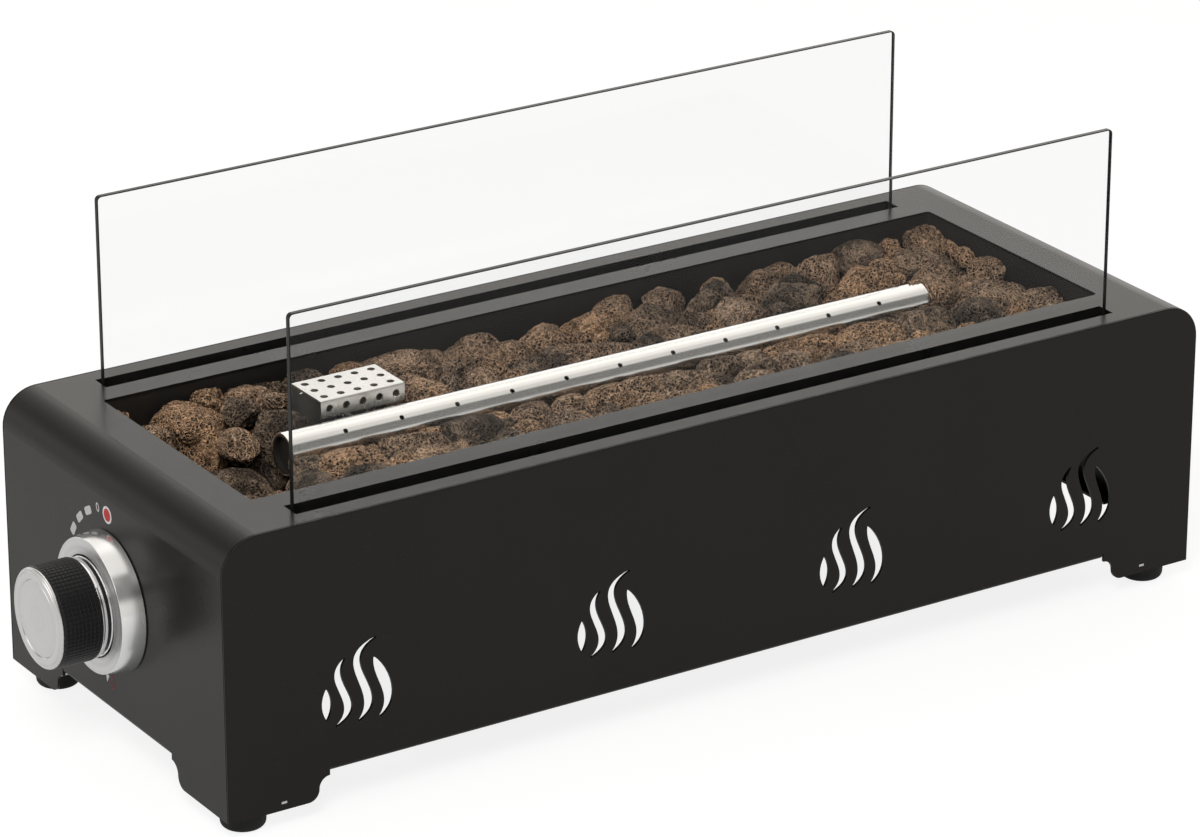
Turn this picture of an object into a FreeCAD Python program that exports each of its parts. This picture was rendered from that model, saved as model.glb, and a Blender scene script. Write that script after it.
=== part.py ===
import FreeCAD, Part
import math
import os
import random

V = FreeCAD.Vector

# Sizes are millimetres. Heights are measured from the table that the feet stand on.
# X runs along the housing, with the control knob at its low end, and +Y is the rear.

# Folded steel housing, open underneath
housing_length = 580.0
housing_depth = 225.5
housing_height = 146.3          # leg ends to the upper face of the top sheet
sheet = 1.5
top_bend_radius = 19.0
seam_groove = 0.5
panel_edge_radius = 0.6
flange_width = 12.0
flange_bend_radius = 2.5

# Legs left standing at the corners of every side
leg_width = 50.0
ogee_radius = 6.0
skirt_height = 13.8             # leg ends to the turned-in flange between the legs
relief_slit = 1.0

# Top sheet
end_rim = 37.35                 # end wall's outer face to the fire opening
side_rim = 38.0                 # side panel's outer face to the fire opening
opening_corner_radius = 2.0
slot_width = 12.0
slot_inset = 17.55              # side panel's outer face to the middle of a glass slot

# Vents, one pattern stamped in the front and rear panels
vent_count = 4
vent_pitch = 145.0

# Tempered glass wind guards
glass_length = 484.0
glass_thickness = 3.2
glass_exposed = 99.4
glass_corner_radius = 2.5
glass_end_gap = 1.0
glass_lift = 0.1                # rest gap under a glass panel
channel_sheet = 1.2
channel_depth = 17.0
shoe_base = 2.0
shoe_height = 12.0
shoe_length = 30.0
shoe_count = 3
shoe_spread = 200.0             # middle shoe to an outer one
shoe_clearance = 0.1

# Feet
foot_height = 11.0
foot_radius = 12.0
foot_sole_radius = 8.0
foot_inset = 17.0               # from each outer face to a foot's middle
foot_counterbore_radius = 5.2
foot_counterbore_depth = 5.0
foot_plate_size = 38.0
foot_plate_sheet = 1.2
foot_plate_lift = 3.4           # leg ends to the underside of the plate
plate_tab_length = 3.0
plate_tab_inset = 30.5          # corner to the middle of a tab
tab_clearance = 0.1
foot_screw_radius = 2.5
foot_nut_flats = 8.0
foot_nut_height = 4.0
screw_clearance = 0.1

# Burner pan hung under the top sheet
pan_sheet = 1.0
pan_depth = 46.0
pan_margin = 1.0                # opening's edge to the pan's inner wall
pan_corner_radius = 6.0
pan_floor_radius = 3.0
pan_flange = 10.0
stud_radius = 2.0
stud_length = 8.0
stud_hole_clearance = 0.25
stud_nut_flats = 7.0
stud_nut_height = 3.2
stud_count = 4
stud_pitch = 133.0

# Burner tube with a row of gas ports along each upper side
burner_radius = 11.0
burner_wall = 1.0
burner_length = 386.0
burner_drop = 16.3              # top sheet's upper face to the tube's axis
port_count = 11
port_pitch = 32.3
port_radius = 1.3
port_angle = 49.0               # above the horizontal
plug_length = 8.0
plug_dish = 3.0
saddle_offset = 150.0
saddle_sheet = 1.5
saddle_half_width = 11.5
saddle_foot = 10.0
saddle_hold = 5.0               # saddle's top below the tube's axis

# Gas mixer under the middle of the burner
mixer_radius = 8.0
mixer_wall = 1.0
mixer_drop = 42.8               # pan's underside to the mixer's lower end
mixer_insert = 4.0              # reach into the burner tube past its lowest point
mixer_port_radius = 3.2
mixer_port_rise = 18.0          # mixer's lower end to the middle of its air ports
mixer_nut_flats = 24.0
mixer_nut_height = 5.0
fit_gap = 0.05

# Orifice elbow and supply pipe
elbow_collar_radius = 10.0
elbow_collar_height = 6.0
elbow_body_radius = 8.0
elbow_body_height = 14.0
elbow_boss_radius = 6.5
elbow_boss_reach = 18.0
elbow_plug_length = 5.0
orifice_radius = 3.0
orifice_height = 4.0
orifice_bore_radius = 0.6
pipe_radius = 4.0
pipe_wall = 1.0
pipe_insert = 5.0
pipe_nut_flats = 19.0
pipe_nut_length = 12.0
pipe_level_run = 60.0           # from the valve to the first bend
pipe_sloping_run = 45.0         # along X, down to the elbow's height

# Control valve. Its axis is the knob's, and distances along it count outwards from the end wall.
knob_height = 75.0              # leg ends to the knob's axis
valve_flange_radius = 23.0
valve_flange_thickness = 3.0
valve_barrel_radius = 14.0
valve_barrel_end = -44.0
valve_outlet_radius = 8.0
valve_outlet_length = 8.0
valve_nose_radius = 9.0
valve_nose_end = 2.0
bracket_sheet = 1.5
bracket_width = 62.0
bracket_height = 56.0
bracket_arm_margin = 3.0        # round the piezo igniter
inlet_station = -31.0
inlet_boss_radius = 9.5
inlet_boss_drop = 24.0          # knob's axis to the boss's lower face
inlet_hex_flats = 19.0
inlet_hex_height = 8.0
inlet_thread_radius = 7.94      # five-eighths inch flare thread
inlet_thread_length = 14.0
inlet_cone_length = 3.0
inlet_bore_radius = 3.0

# Knob and its bezel
knob_travel = 4.0
stem_radius = 4.0
stem_flat = 3.0
stem_inner_end = -18.0
stem_outer_end = 34.0
bezel_base_radius = 36.0
bezel_front_radius = 34.3
bezel_front = 12.5
bezel_bore_radius = 27.6
bezel_lip = 1.2
bezel_floor = 2.5
bezel_screw_radius = 1.5
bezel_screw_circle = 18.0
bezel_screw_head_radius = 2.8
bezel_screw_head_height = 1.8
knob_rear = 10.0
ring_radius = 25.2
ring_front = 16.2
ring_wall = 2.4
grip_radius = 26.0
grip_front = 39.2
grip_wall = 2.6
hub_radius = 7.5
hub_rear = 11.6
cap_radius = 25.4
cap_front = 41.0
cap_groove_radius = 21.0
cap_groove_width = 0.8
cap_groove_depth = 0.4
cap_spigot_radius = 19.0
cap_spigot_wall = 1.5
cap_spigot_depth = 1.2
push_plate_radius = 8.5
push_plate_thickness = 1.4
push_plate_gap = 0.2
spring_radius = 6.0
spring_wire = 1.0               # side of its square section
spring_turns = 4
spring_end_gap = 0.1

# Igniter and flame sensor under a perforated guard, placed from the housing's middle
guard_left = -161.0
guard_length = 48.5
guard_front = 18.0
guard_depth = 30.0
guard_rise = 1.4                # top sheet's upper face down to the guard's top
guard_sheet = 1.0
guard_lip = 9.3
guard_foot = 9.0
guard_hole_radius = 2.0
guard_hole_pitch = 9.6
guard_hole_columns = 5
guard_hole_rows = 3
sensor_setback = 12.0           # guard's front to the electrode's axis
electrode_inset = 19.0          # guard's open end to the electrode's axis
electrode_radius = 3.2
electrode_collar_radius = 5.0
electrode_collar_height = 3.0
electrode_height = 26.2         # above the pan's floor
electrode_tip_radius = 0.9
electrode_tip_rise = 6.5
spark_gap = 4.0
probe_inset = 34.0              # guard's open end to the thermocouple's axis
probe_radius = 2.4
probe_height = 42.2             # above the pan's floor
probe_tip_radius = 1.2
probe_tip_length = 8.0
sensor_drop = 12.0              # pan's underside to the lower ends of both
sensor_hole_radius = 5.5
holder_margin = 8.0
holder_sheet = 1.5
piezo_radius = 7.5
piezo_length = 34.0
piezo_offset = 32.0
piezo_terminal_radius = 2.5
piezo_terminal_length = 5.0

# Lava rocks, one in each cell of an uneven pattern that fills the pan
rock_gap = 0.4                  # from a cell's edge to its rock
rock_pitch = 40.0
rock_scatter = 0.32             # how far a cell's middle strays, as a share of the pitch
rock_heights = (36.0, 44.5)
rock_sides = 8
rock_levels = ((0.0, 0.72), (0.3, 1.0), (0.7, 0.97), (0.92, 0.64))
rock_stretch = 1.5              # longest reach of a rock as a share of its shortest
rock_seed = 12

# Places worked out from the sizes above
half_length = housing_length / 2
half_depth = housing_depth / 2
leg_end = foot_height
top_face = leg_end + housing_height
top_under = top_face - sheet
skirt = leg_end + skirt_height
relief_top = skirt + flange_bend_radius
knob_z = leg_end + knob_height
knob_axis = V(-half_length, 0, knob_z)
opening_length = housing_length - 2 * end_rim
opening_width = housing_depth - 2 * side_rim
slot_offset = half_depth - slot_inset
slot_length = glass_length + 2 * glass_end_gap
channel_floor = top_under - channel_depth
pan_half_length = opening_length / 2 + pan_margin
pan_half_width = opening_width / 2 + pan_margin
pan_floor = top_under - pan_depth
pan_under = pan_floor - pan_sheet
stud_row = pan_half_width + pan_sheet + pan_flange / 2
stud_stations = [(k - (stud_count - 1) / 2) * stud_pitch for k in range(stud_count)]
burner_z = top_face - burner_drop
mixer_bottom = pan_under - mixer_drop
foot_plate_under = leg_end + foot_plate_lift
foot_plate_top = foot_plate_under + foot_plate_sheet
elbow_z = mixer_bottom - elbow_collar_height - elbow_body_height / 2
inlet_x = -half_length - inlet_station
inlet_top = knob_z - inlet_boss_drop
bracket_back = -sheet - bracket_sheet
flange_back = bracket_back - valve_flange_thickness
guard_top = top_face - guard_rise
sensor_bottom = pan_under - sensor_drop
electrode_station = V(guard_left + electrode_inset, guard_front + sensor_setback, 0)
probe_station = V(guard_left + probe_inset, guard_front + sensor_setback - 2, 0)
electrode_top = pan_floor + electrode_height
probe_top = pan_floor + probe_height
push_plate_front = hub_rear - push_plate_gap
push_plate_back = push_plate_front - push_plate_thickness
model_shift = V(cap_front / 2, 0, 0)  # puts the origin under the middle of housing and knob


def box(x0, x1, y0, y1, z0, z1):
    return Part.makeBox(x1 - x0, y1 - y0, z1 - z0, V(x0, y0, z0))


def upright(radius, x, y, z0, z1):
    return Part.makeCylinder(radius, z1 - z0, V(x, y, z0))


def along_x(radius, x0, x1, y, z):
    return Part.makeCylinder(radius, x1 - x0, V(x0, y, z), V(1, 0, 0))


def along_knob(radius, near, far, y=0.0, z=0.0):
    """A cylinder along the knob's axis between two distances out from the end wall."""
    return along_x(radius, -half_length - far, -half_length - near, y, knob_z + z)


def hex_prism(flats, start, direction, length):
    """A hexagonal bar that begins at start and runs along direction."""
    corner = flats / math.sqrt(3)
    points = [V(corner * math.cos(math.radians(60 * k)), corner * math.sin(math.radians(60 * k)), 0)
              for k in range(7)]
    prism = Part.Face(Part.makePolygon(points)).extrude(V(0, 0, length))
    prism.Placement = FreeCAD.Placement(start, FreeCAD.Rotation(V(0, 0, 1), direction))
    return prism


def line(a, b):
    return Part.makeLine(a, b)


def arc(start, middle, end):
    return Part.Arc(start, middle, end).toShape()


def quarter(centre, radius, start_angle, place):
    """A quarter circle counted anticlockwise from start_angle, in the plane that place() gives."""
    def at(angle):
        a = math.radians(angle)
        return place(centre[0] + radius * math.cos(a), centre[1] + radius * math.sin(a))
    return arc(at(start_angle), at(start_angle + 45), at(start_angle + 90))


def save(name, shape):
    if isinstance(shape, list):
        shape = Part.makeCompound(shape)
    shape = shape.copy()
    shape.translate(model_shift)
    shape.exportStep(f"parts/{name}.step")


def four_corners(make):
    """Copies of one corner piece, made for the low X, low Y corner, at all four corners."""
    first = make()
    across = first.mirror(V(0, 0, 0), V(1, 0, 0))
    return [first, across, first.mirror(V(0, 0, 0), V(0, 1, 0)), across.mirror(V(0, 0, 0), V(0, 1, 0))]


# ---- housing sheets ----

def skirt_edges(half_span, place):
    """The lower edge of one side, from its high corner to its low one, round both legs."""
    r = ogee_radius
    edges = []
    for side in (1, -1):
        leg = half_span - leg_width
        a = line(place(side * half_span, leg_end), place(side * (leg + r), leg_end))
        toe = quarter((side * (leg + r), leg_end + r), r, 180 if side > 0 else 270, place)
        waist = quarter((side * (leg - r), leg_end + r), r, 0 if side > 0 else 90, place)
        rise = line(place(side * (leg - r), leg_end + 2 * r), place(side * (leg - r), relief_top))
        edges += [a, toe, waist, rise]
    inner = half_span - leg_width - r
    edges.append(line(place(inner, relief_top), place(-inner, relief_top)))
    return edges


def turned_in_flange(half_span, place):
    """The strip between the legs, bent inwards. place(depth, height, along) gives a point."""
    outer, inner = flange_bend_radius, flange_bend_radius - sheet
    along = half_span - leg_width - ogee_radius - relief_slit

    def at(depth, height):
        return place(depth, height, -along)

    def bend(radius):
        half = radius * (1 - math.sqrt(0.5))
        offset = outer - radius
        return arc(at(offset, relief_top), at(offset + half, skirt + offset + half),
                   at(outer, skirt + offset))

    edges = [bend(outer), line(at(outer, skirt), at(flange_width, skirt)),
             line(at(flange_width, skirt), at(flange_width, skirt + sheet)),
             line(at(flange_width, skirt + sheet), at(outer, skirt + sheet)),
             bend(inner), line(at(sheet, relief_top), at(0, relief_top))]
    profile = Part.Face(Part.Wire(Part.__sortEdges__(edges)))
    return profile.extrude(place(0, 0, along) - place(0, 0, -along))


def side_outline(inset, y):
    """Outline of a long side panel: rounded top corners above, legs below."""
    def place(s, z):
        return V(s, y, z)
    half, high, r = half_length - inset, top_face - inset, top_bend_radius - inset
    edges = [line(place(-half, leg_end), place(-half, high - r)),
             quarter((-half + r, high - r), r, 90, place),
             line(place(-half + r, high), place(half - r, high)),
             quarter((half - r, high - r), r, 0, place),
             line(place(half, high - r), place(half, leg_end))]
    return edges, place


def panel_sheet(inset, y, thickness):
    edges, place = side_outline(inset, y)
    lower = skirt_edges(half_length, place)
    if inset:
        leg_foot = half_length - leg_width + ogee_radius
        lower[0] = line(place(half_length - inset, leg_end), place(leg_foot, leg_end))
        lower[4] = line(place(inset - half_length, leg_end), place(-leg_foot, leg_end))
    return Part.Face(Part.Wire(Part.__sortEdges__(edges + lower))).extrude(V(0, thickness, 0))


def stroke(left, right, x, y):
    """One flame stroke: two curved sides, given from the top down, closed by short tip edges."""
    sides = []
    for points in (left, right):
        curve = Part.BSplineCurve()
        curve.interpolate([V(x + a, y, leg_end + b) for a, b in points])
        sides.append(curve.toShape())
    tips = [line(sides[0].Vertexes[end].Point, sides[1].Vertexes[end].Point) for end in (0, -1)]
    return Part.Face(Part.Wire(Part.__sortEdges__(sides + tips)))


flame_strokes = (
    ([(-18.0, 57.4), (-20.2, 50.8), (-18.0, 41.2)], [(-17.1, 57.2), (-15.1, 46.2), (-17.2, 41.0)]),
    ([(-7.6, 71.5), (-13.0, 61.7), (-8.2, 47.3), (-13.0, 36.9)],
     [(-6.9, 70.9), (-7.9, 58.1), (-3.5, 46.5), (-12.3, 36.3)]),
    ([(9.8, 78.8), (-2.5, 66.5), (3.1, 46.4), (-0.4, 36.9)],
     [(10.7, 78.1), (1.7, 66.5), (8.1, 46.7), (0.3, 36.2)]),
    ([(8.7, 68.1), (10.1, 58.4), (14.2, 45.5), (11.4, 36.6)],
     [(9.5, 67.8), (18.6, 52.6), (18.8, 43.8), (12.2, 35.7)]))


def on_panel_rim(edge):
    """True for the outer face's edges along its top, its round corners and its ends."""
    middle = edge.CenterOfMass
    at_face = all(abs(v.Y + half_depth) < 0.01 for v in edge.Vertexes) and abs(middle.y + half_depth) < 0.01
    return at_face and (middle.z > top_face - top_bend_radius or abs(abs(middle.x) - half_length) < 0.01)


def side_panel():
    """The front panel, with its seam step, vents, foot plate slots and turned-in flange."""
    outer = -half_depth
    shape = panel_sheet(0, outer, sheet - seam_groove)
    shape = shape.fuse(panel_sheet(seam_groove, outer + sheet - seam_groove, seam_groove))
    shape = shape.fuse(turned_in_flange(half_length, lambda d, z, s: V(s, outer + d, z))).removeSplitter()
    shape = shape.makeFillet(panel_edge_radius, [e for e in shape.Edges if on_panel_rim(e)])
    cuts = []
    for k in range(vent_count):
        x = (k - (vent_count - 1) / 2) * vent_pitch
        cuts += [stroke(left, right, x, outer - 1).extrude(V(0, sheet + 2, 0))
                 for left, right in flame_strokes]
    for side in (-1, 1):
        x = side * (half_length - plate_tab_inset)
        half = plate_tab_length / 2 + tab_clearance
        cuts.append(box(x - half, x + half, outer - 1, outer + sheet + 1,
                        foot_plate_under - tab_clearance, foot_plate_top + tab_clearance))
    return shape.cut(Part.makeCompound(cuts))


def bent_cover():
    """Top and both ends, bent from one sheet, between the two side panels."""
    y = half_depth - sheet

    def path(inset):
        edges, place = side_outline(inset, -y)
        return edges, place

    outer, place = path(0)
    inner, _ = path(sheet)
    ends = [line(place(side * half_length, leg_end), place(side * (half_length - sheet), leg_end))
            for side in (-1, 1)]
    return Part.Face(Part.Wire(Part.__sortEdges__(outer + inner + ends))).extrude(V(0, 2 * y, 0))


def rounded_slab(half_x, half_y, radius, z0, z1):
    slab = box(-half_x, half_x, -half_y, half_y, z0, z1)
    return slab.makeFillet(radius, [e for e in slab.Edges if abs(e.Vertexes[0].Z - e.Vertexes[1].Z) > 0.1])


def body_shell():
    shape = bent_cover()
    cuts = [rounded_slab(opening_length / 2, opening_width / 2, opening_corner_radius,
                         top_under - 1, top_face + 1)]
    for side in (-1, 1):
        y = side * slot_offset
        cuts.append(box(-slot_length / 2, slot_length / 2, y - slot_width / 2, y + slot_width / 2,
                        top_under - 1, top_face + 1))

        def place(s, z):
            return V(side * (half_length + 1), s, z)
        lower = skirt_edges(half_depth, place)
        below = leg_end - 1
        lower += [line(place(half_depth, leg_end), place(half_depth, below)),
                  line(place(half_depth, below), place(-half_depth, below)),
                  line(place(-half_depth, below), place(-half_depth, leg_end))]
        gap = Part.Face(Part.Wire(Part.__sortEdges__(lower)))
        cuts.append(gap.extrude(V(-side * (sheet + 2), 0, 0)))
    cuts.append(along_knob(valve_nose_radius + 2 * screw_clearance, -sheet - 1, 1))
    for offset in (-bezel_screw_circle, bezel_screw_circle):
        cuts.append(along_knob(bezel_screw_radius + screw_clearance, -sheet - 1, 1, offset))
    shape = shape.cut(Part.makeCompound(cuts))
    for side in (-1, 1):
        shape = shape.fuse(turned_in_flange(half_depth, lambda d, z, s: V(side * (half_length - d), s, z)))
    studs = [upright(stud_radius, x, side * stud_row, top_under - stud_length, top_under)
             for x in stud_stations for side in (-1, 1)]
    return shape.fuse(studs).removeSplitter()


# ---- feet ----

def foot_plate():
    x, y = -half_length + sheet, -half_depth + sheet
    plate = box(x, x + foot_plate_size, y, y + foot_plate_size, foot_plate_under, foot_plate_top)
    corner = foot_plate_size - foot_plate_sheet
    inner = [e for e in plate.Edges if abs(e.Vertexes[0].X - x - foot_plate_size) < 0.01
             and abs(e.Vertexes[1].Y - y - foot_plate_size) < 0.01
             and abs(e.Vertexes[0].Z - e.Vertexes[1].Z) > 0.1]
    plate = plate.makeFillet(corner * 0.6, inner)
    tab = -half_length + plate_tab_inset
    plate = plate.fuse(box(tab - plate_tab_length / 2, tab + plate_tab_length / 2, -half_depth, y + 1,
                           foot_plate_under, foot_plate_top))
    foot_x, foot_y = -half_length + foot_inset, -half_depth + foot_inset
    hole = upright(foot_screw_radius + screw_clearance, foot_x, foot_y,
                   foot_plate_under - 1, foot_plate_top + 1)
    return plate.cut(hole).removeSplitter()


def foot_at_corner(make):
    piece = make()
    piece.translate(V(-half_length + foot_inset, -half_depth + foot_inset, 0))
    return piece


def rubber_foot():
    """Turned foot: straight under its plate, tapering to a rounded sole, counterbored for a screw."""
    taper = 0.7
    edge = 3.2
    points = [V(foot_screw_radius + screw_clearance, 0, foot_plate_under),
              V(foot_radius, 0, foot_plate_under),
              V(foot_radius - taper, 0, edge)]
    round_from = points[-1]
    sole = V(foot_sole_radius, 0, 0)
    middle = V(foot_radius - taper - 1.0, 0, edge - 2.3)
    inner = [V(foot_counterbore_radius, 0, 0), V(foot_counterbore_radius, 0, foot_counterbore_depth),
             V(foot_screw_radius + screw_clearance, 0, foot_counterbore_depth), points[0]]
    edges = [line(points[0], points[1]), line(points[1], points[2]), arc(round_from, middle, sole)]
    edges += [line(a, b) for a, b in zip([sole] + inner[:-1], inner)]
    return Part.Face(Part.Wire(edges)).revolve(V(0, 0, 0), V(0, 0, 1), 360)


def foot_screw():
    """Pan head in the counterbore, shank up through foot and plate to its nut."""
    head_height = 3.0
    head = upright(foot_counterbore_radius - 0.7, 0, 0, foot_counterbore_depth - head_height,
                   foot_counterbore_depth)
    rim = [e for e in head.Edges if abs(e.CenterOfMass.z - foot_counterbore_depth + head_height) < 0.01]
    head = head.makeFillet(1.2, rim)
    end = foot_plate_top + foot_nut_height + 1.5
    return head.fuse(upright(foot_screw_radius, 0, 0, foot_counterbore_depth, end)).removeSplitter()


def foot_nut():
    nut = hex_prism(foot_nut_flats, V(0, 0, foot_plate_top), V(0, 0, 1), foot_nut_height)
    return nut.cut(upright(foot_screw_radius + fit_gap, 0, 0, foot_plate_top - 1, foot_plate_top + 9))


# ---- glass guards ----

def glass_channel():
    """A trough welded under the front slot."""
    y, half_x = -slot_offset, slot_length / 2
    outer = box(-half_x - channel_sheet, half_x + channel_sheet, y - slot_width / 2 - channel_sheet,
                y + slot_width / 2 + channel_sheet, channel_floor - channel_sheet, top_under)
    return outer.cut(box(-half_x, half_x, y - slot_width / 2, y + slot_width / 2,
                         channel_floor, top_under + 1))


def glass_shoes():
    """Rubber blocks in the trough, each with a groove for the glass."""
    y, z = -slot_offset, channel_floor
    half = slot_width / 2 - shoe_clearance
    groove = glass_thickness / 2 + shoe_clearance
    shoes = []
    for k in range(shoe_count):
        x = (k - (shoe_count - 1) / 2) * shoe_spread
        block = box(x - shoe_length / 2, x + shoe_length / 2, y - half, y + half, z, z + shoe_height)
        shoes.append(block.cut(box(x - shoe_length, x + shoe_length, y - groove, y + groove,
                                   z + shoe_base, z + shoe_height + 1)))
    return shoes


def glass_panel():
    y, low, high = -slot_offset, channel_floor + shoe_base + glass_lift, top_face + glass_exposed
    half_x, half_y = glass_length / 2, glass_thickness / 2
    pane = box(-half_x, half_x, y - half_y, y + half_y, low, high)
    upper = [e for e in pane.Edges
             if abs(e.CenterOfMass.z - high) < 0.01 and abs(e.CenterOfMass.y - y) < 0.01]
    pane = pane.makeFillet(glass_corner_radius, upper)
    rim = [e for e in pane.Edges if abs(e.CenterOfMass.y - y) > 0.5 * glass_thickness - 0.01]
    return pane.makeChamfer(0.4, rim)


# ---- pan and burner ----

def burner_pan():
    outer = box(-pan_half_length - pan_sheet, pan_half_length + pan_sheet,
                -pan_half_width - pan_sheet, pan_half_width + pan_sheet, pan_under, top_under)
    inner = box(-pan_half_length, pan_half_length, -pan_half_width, pan_half_width, pan_floor, top_under + 5)

    def rounded(block, wall):
        upright_edges = [e for e in block.Edges if abs(e.Vertexes[0].Z - e.Vertexes[1].Z) > 1]
        block = block.makeFillet(pan_corner_radius + wall, upright_edges)
        low = min(e.CenterOfMass.z for e in block.Edges)
        bottom = [e for e in block.Edges if e.CenterOfMass.z < low + 0.01]
        return block.makeFillet(pan_floor_radius + wall, bottom)

    inner = rounded(inner, 0)
    rim = rounded_slab(pan_half_length + pan_sheet + pan_flange, pan_half_width + pan_sheet + pan_flange,
                       pan_corner_radius, top_under - pan_sheet, top_under)
    holes = [upright(stud_radius + stud_hole_clearance, x, side * stud_row, top_under - 2, top_under + 1)
             for x in stud_stations for side in (-1, 1)]
    holes.append(upright(mixer_radius + 3 * screw_clearance, 0, 0, pan_under - 1, pan_floor + 1))
    for station in (electrode_station, probe_station):
        holes.append(upright(sensor_hole_radius, station.x, station.y, pan_under - 1, pan_floor + 1))
    return rounded(outer, pan_sheet).fuse(rim).cut(Part.makeCompound([inner] + holes)).removeSplitter()


def pan_nuts():
    z = top_under - pan_sheet - stud_nut_height
    nuts = []
    for x in stud_stations:
        for side in (-1, 1):
            nut = hex_prism(stud_nut_flats, V(x, side * stud_row, z), V(0, 0, 1), stud_nut_height)
            nuts.append(nut.cut(upright(stud_radius + fit_gap, x, side * stud_row, z - 1, top_under)))
    return nuts


def burner_tube():
    half = burner_length / 2
    tube = along_x(burner_radius, -half, half, 0, burner_z)
    cuts = [along_x(burner_radius - burner_wall, -half - 1, half + 1, 0, burner_z),
            upright(mixer_radius + fit_gap, 0, 0, burner_z - burner_radius - 1, burner_z)]
    angle = math.radians(port_angle)
    for side in (-1, 1):
        outward = V(0, side * math.cos(angle), math.sin(angle))
        for k in range(port_count):
            x = (k - (port_count - 1) / 2) * port_pitch
            cuts.append(Part.makeCylinder(port_radius, burner_radius + 1, V(x, 0, burner_z), outward))
    return tube.cut(Part.makeCompound(cuts))


def burner_plugs():
    """Dished steel plugs that close both ends of the tube."""
    plugs = []
    for side in (-1, 1):
        outer_end = side * burner_length / 2
        inner_end = side * (burner_length / 2 - plug_length)
        low, high = sorted((outer_end, inner_end))
        plug = along_x(burner_radius - burner_wall - fit_gap, low, high, 0, burner_z)
        dish = along_x(burner_radius - 2 * burner_wall, *sorted((outer_end, outer_end - side * plug_dish)),
                       0, burner_z)
        plugs.append(plug.cut(dish))
    return plugs


def burner_saddles():
    """Stamped stands on the pan's floor, each with a notch that cradles the tube."""
    saddles = []
    for side in (-1, 1):
        x = side * saddle_offset
        plate = box(x - saddle_sheet / 2, x + saddle_sheet / 2, -saddle_half_width, saddle_half_width,
                    pan_floor, burner_z - saddle_hold)
        foot = box(*sorted((x, x - side * saddle_foot)), -saddle_half_width, saddle_half_width,
                   pan_floor, pan_floor + saddle_sheet)
        notch = along_x(burner_radius + fit_gap, x - saddle_foot, x + saddle_foot, 0, burner_z)
        saddles.append(plate.fuse(foot).cut(notch).removeSplitter())
    return saddles


def mixer_tube():
    top = burner_z - burner_radius + mixer_insert
    tube = upright(mixer_radius, 0, 0, mixer_bottom, top)
    cuts = [upright(mixer_radius - mixer_wall, 0, 0, mixer_bottom - 1, top + 1)]
    for direction in (V(1, 0, 0), V(0, 1, 0)):
        start = V(0, 0, mixer_bottom + mixer_port_rise) - direction * (mixer_radius + 1)
        cuts.append(Part.makeCylinder(mixer_port_radius, 2 * mixer_radius + 2, start, direction))
    return tube.cut(Part.makeCompound(cuts))


def mixer_nut():
    nut = hex_prism(mixer_nut_flats, V(0, 0, pan_under - mixer_nut_height), V(0, 0, 1), mixer_nut_height)
    return nut.cut(upright(mixer_radius + fit_gap, 0, 0, pan_under - mixer_nut_height - 1, pan_under + 1))


# ---- gas supply ----

def orifice_elbow():
    """Brass elbow that plugs the mixer's lower end and turns the gas up through its orifice."""
    collar_low = mixer_bottom - elbow_collar_height
    plug_top = mixer_bottom + elbow_plug_length
    orifice_top = plug_top + orifice_height
    inlet = -elbow_boss_reach
    shape = upright(mixer_radius - mixer_wall - fit_gap, 0, 0, mixer_bottom, plug_top)
    shape = shape.fuse([
        upright(orifice_radius, 0, 0, plug_top, orifice_top),
        upright(elbow_collar_radius, 0, 0, collar_low, mixer_bottom),
        upright(elbow_body_radius, 0, 0, collar_low - elbow_body_height, collar_low),
        along_x(elbow_boss_radius, inlet, 0, 0, elbow_z)])
    gas_way = pipe_radius - pipe_wall
    bores = [along_x(pipe_radius + fit_gap, inlet - 1, inlet + pipe_insert, 0, elbow_z),
             along_x(gas_way, inlet, 1, 0, elbow_z),
             upright(gas_way, 0, 0, elbow_z, mixer_bottom + elbow_plug_length / 2),
             upright(orifice_bore_radius, 0, 0, mixer_bottom, orifice_top + 1)]
    return shape.cut(Part.makeCompound(bores)).removeSplitter()


def route(points):
    """Straight runs joined by tangent arcs, each as large as its two runs allow."""
    edges, start = [], points[0]
    for before, corner, after in zip(points, points[1:], points[2:]):
        back, forth = (before - corner), (after - corner)
        run = 0.45 * min(back.Length, forth.Length)
        back.normalize()
        forth.normalize()
        enter, leave = corner + back * run, corner + forth * run
        middle = (back + forth).normalize()
        turn = math.pi - back.getAngle(forth)
        radius = run / math.tan(turn / 2)
        centre = corner + middle * (radius / math.cos(turn / 2))
        edges += [line(start, enter), arc(enter, centre - middle * radius, leave)]
        start = leave
        print(f"bend of radius {radius:.1f} mm")
    return Part.Wire(edges + [line(start, points[-1])])


def swept(points, radius):
    path = route(points)
    circle = Part.Wire(Part.makeCircle(radius, points[0], points[1] - points[0]))
    return path.makePipeShell([circle], True, False)


pipe_start = V(-half_length - valve_barrel_end + valve_outlet_length - pipe_insert, 0, knob_z)
pipe_end = V(pipe_insert - elbow_boss_reach, 0, elbow_z)
pipe_bend = pipe_start + V(pipe_level_run, 0, 0)
pipe_points = [pipe_start, pipe_bend, V(pipe_bend.x + pipe_sloping_run, 0, elbow_z), pipe_end]


def gas_pipe():
    return swept(pipe_points, pipe_radius).cut(swept(pipe_points, pipe_radius - pipe_wall))


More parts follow.
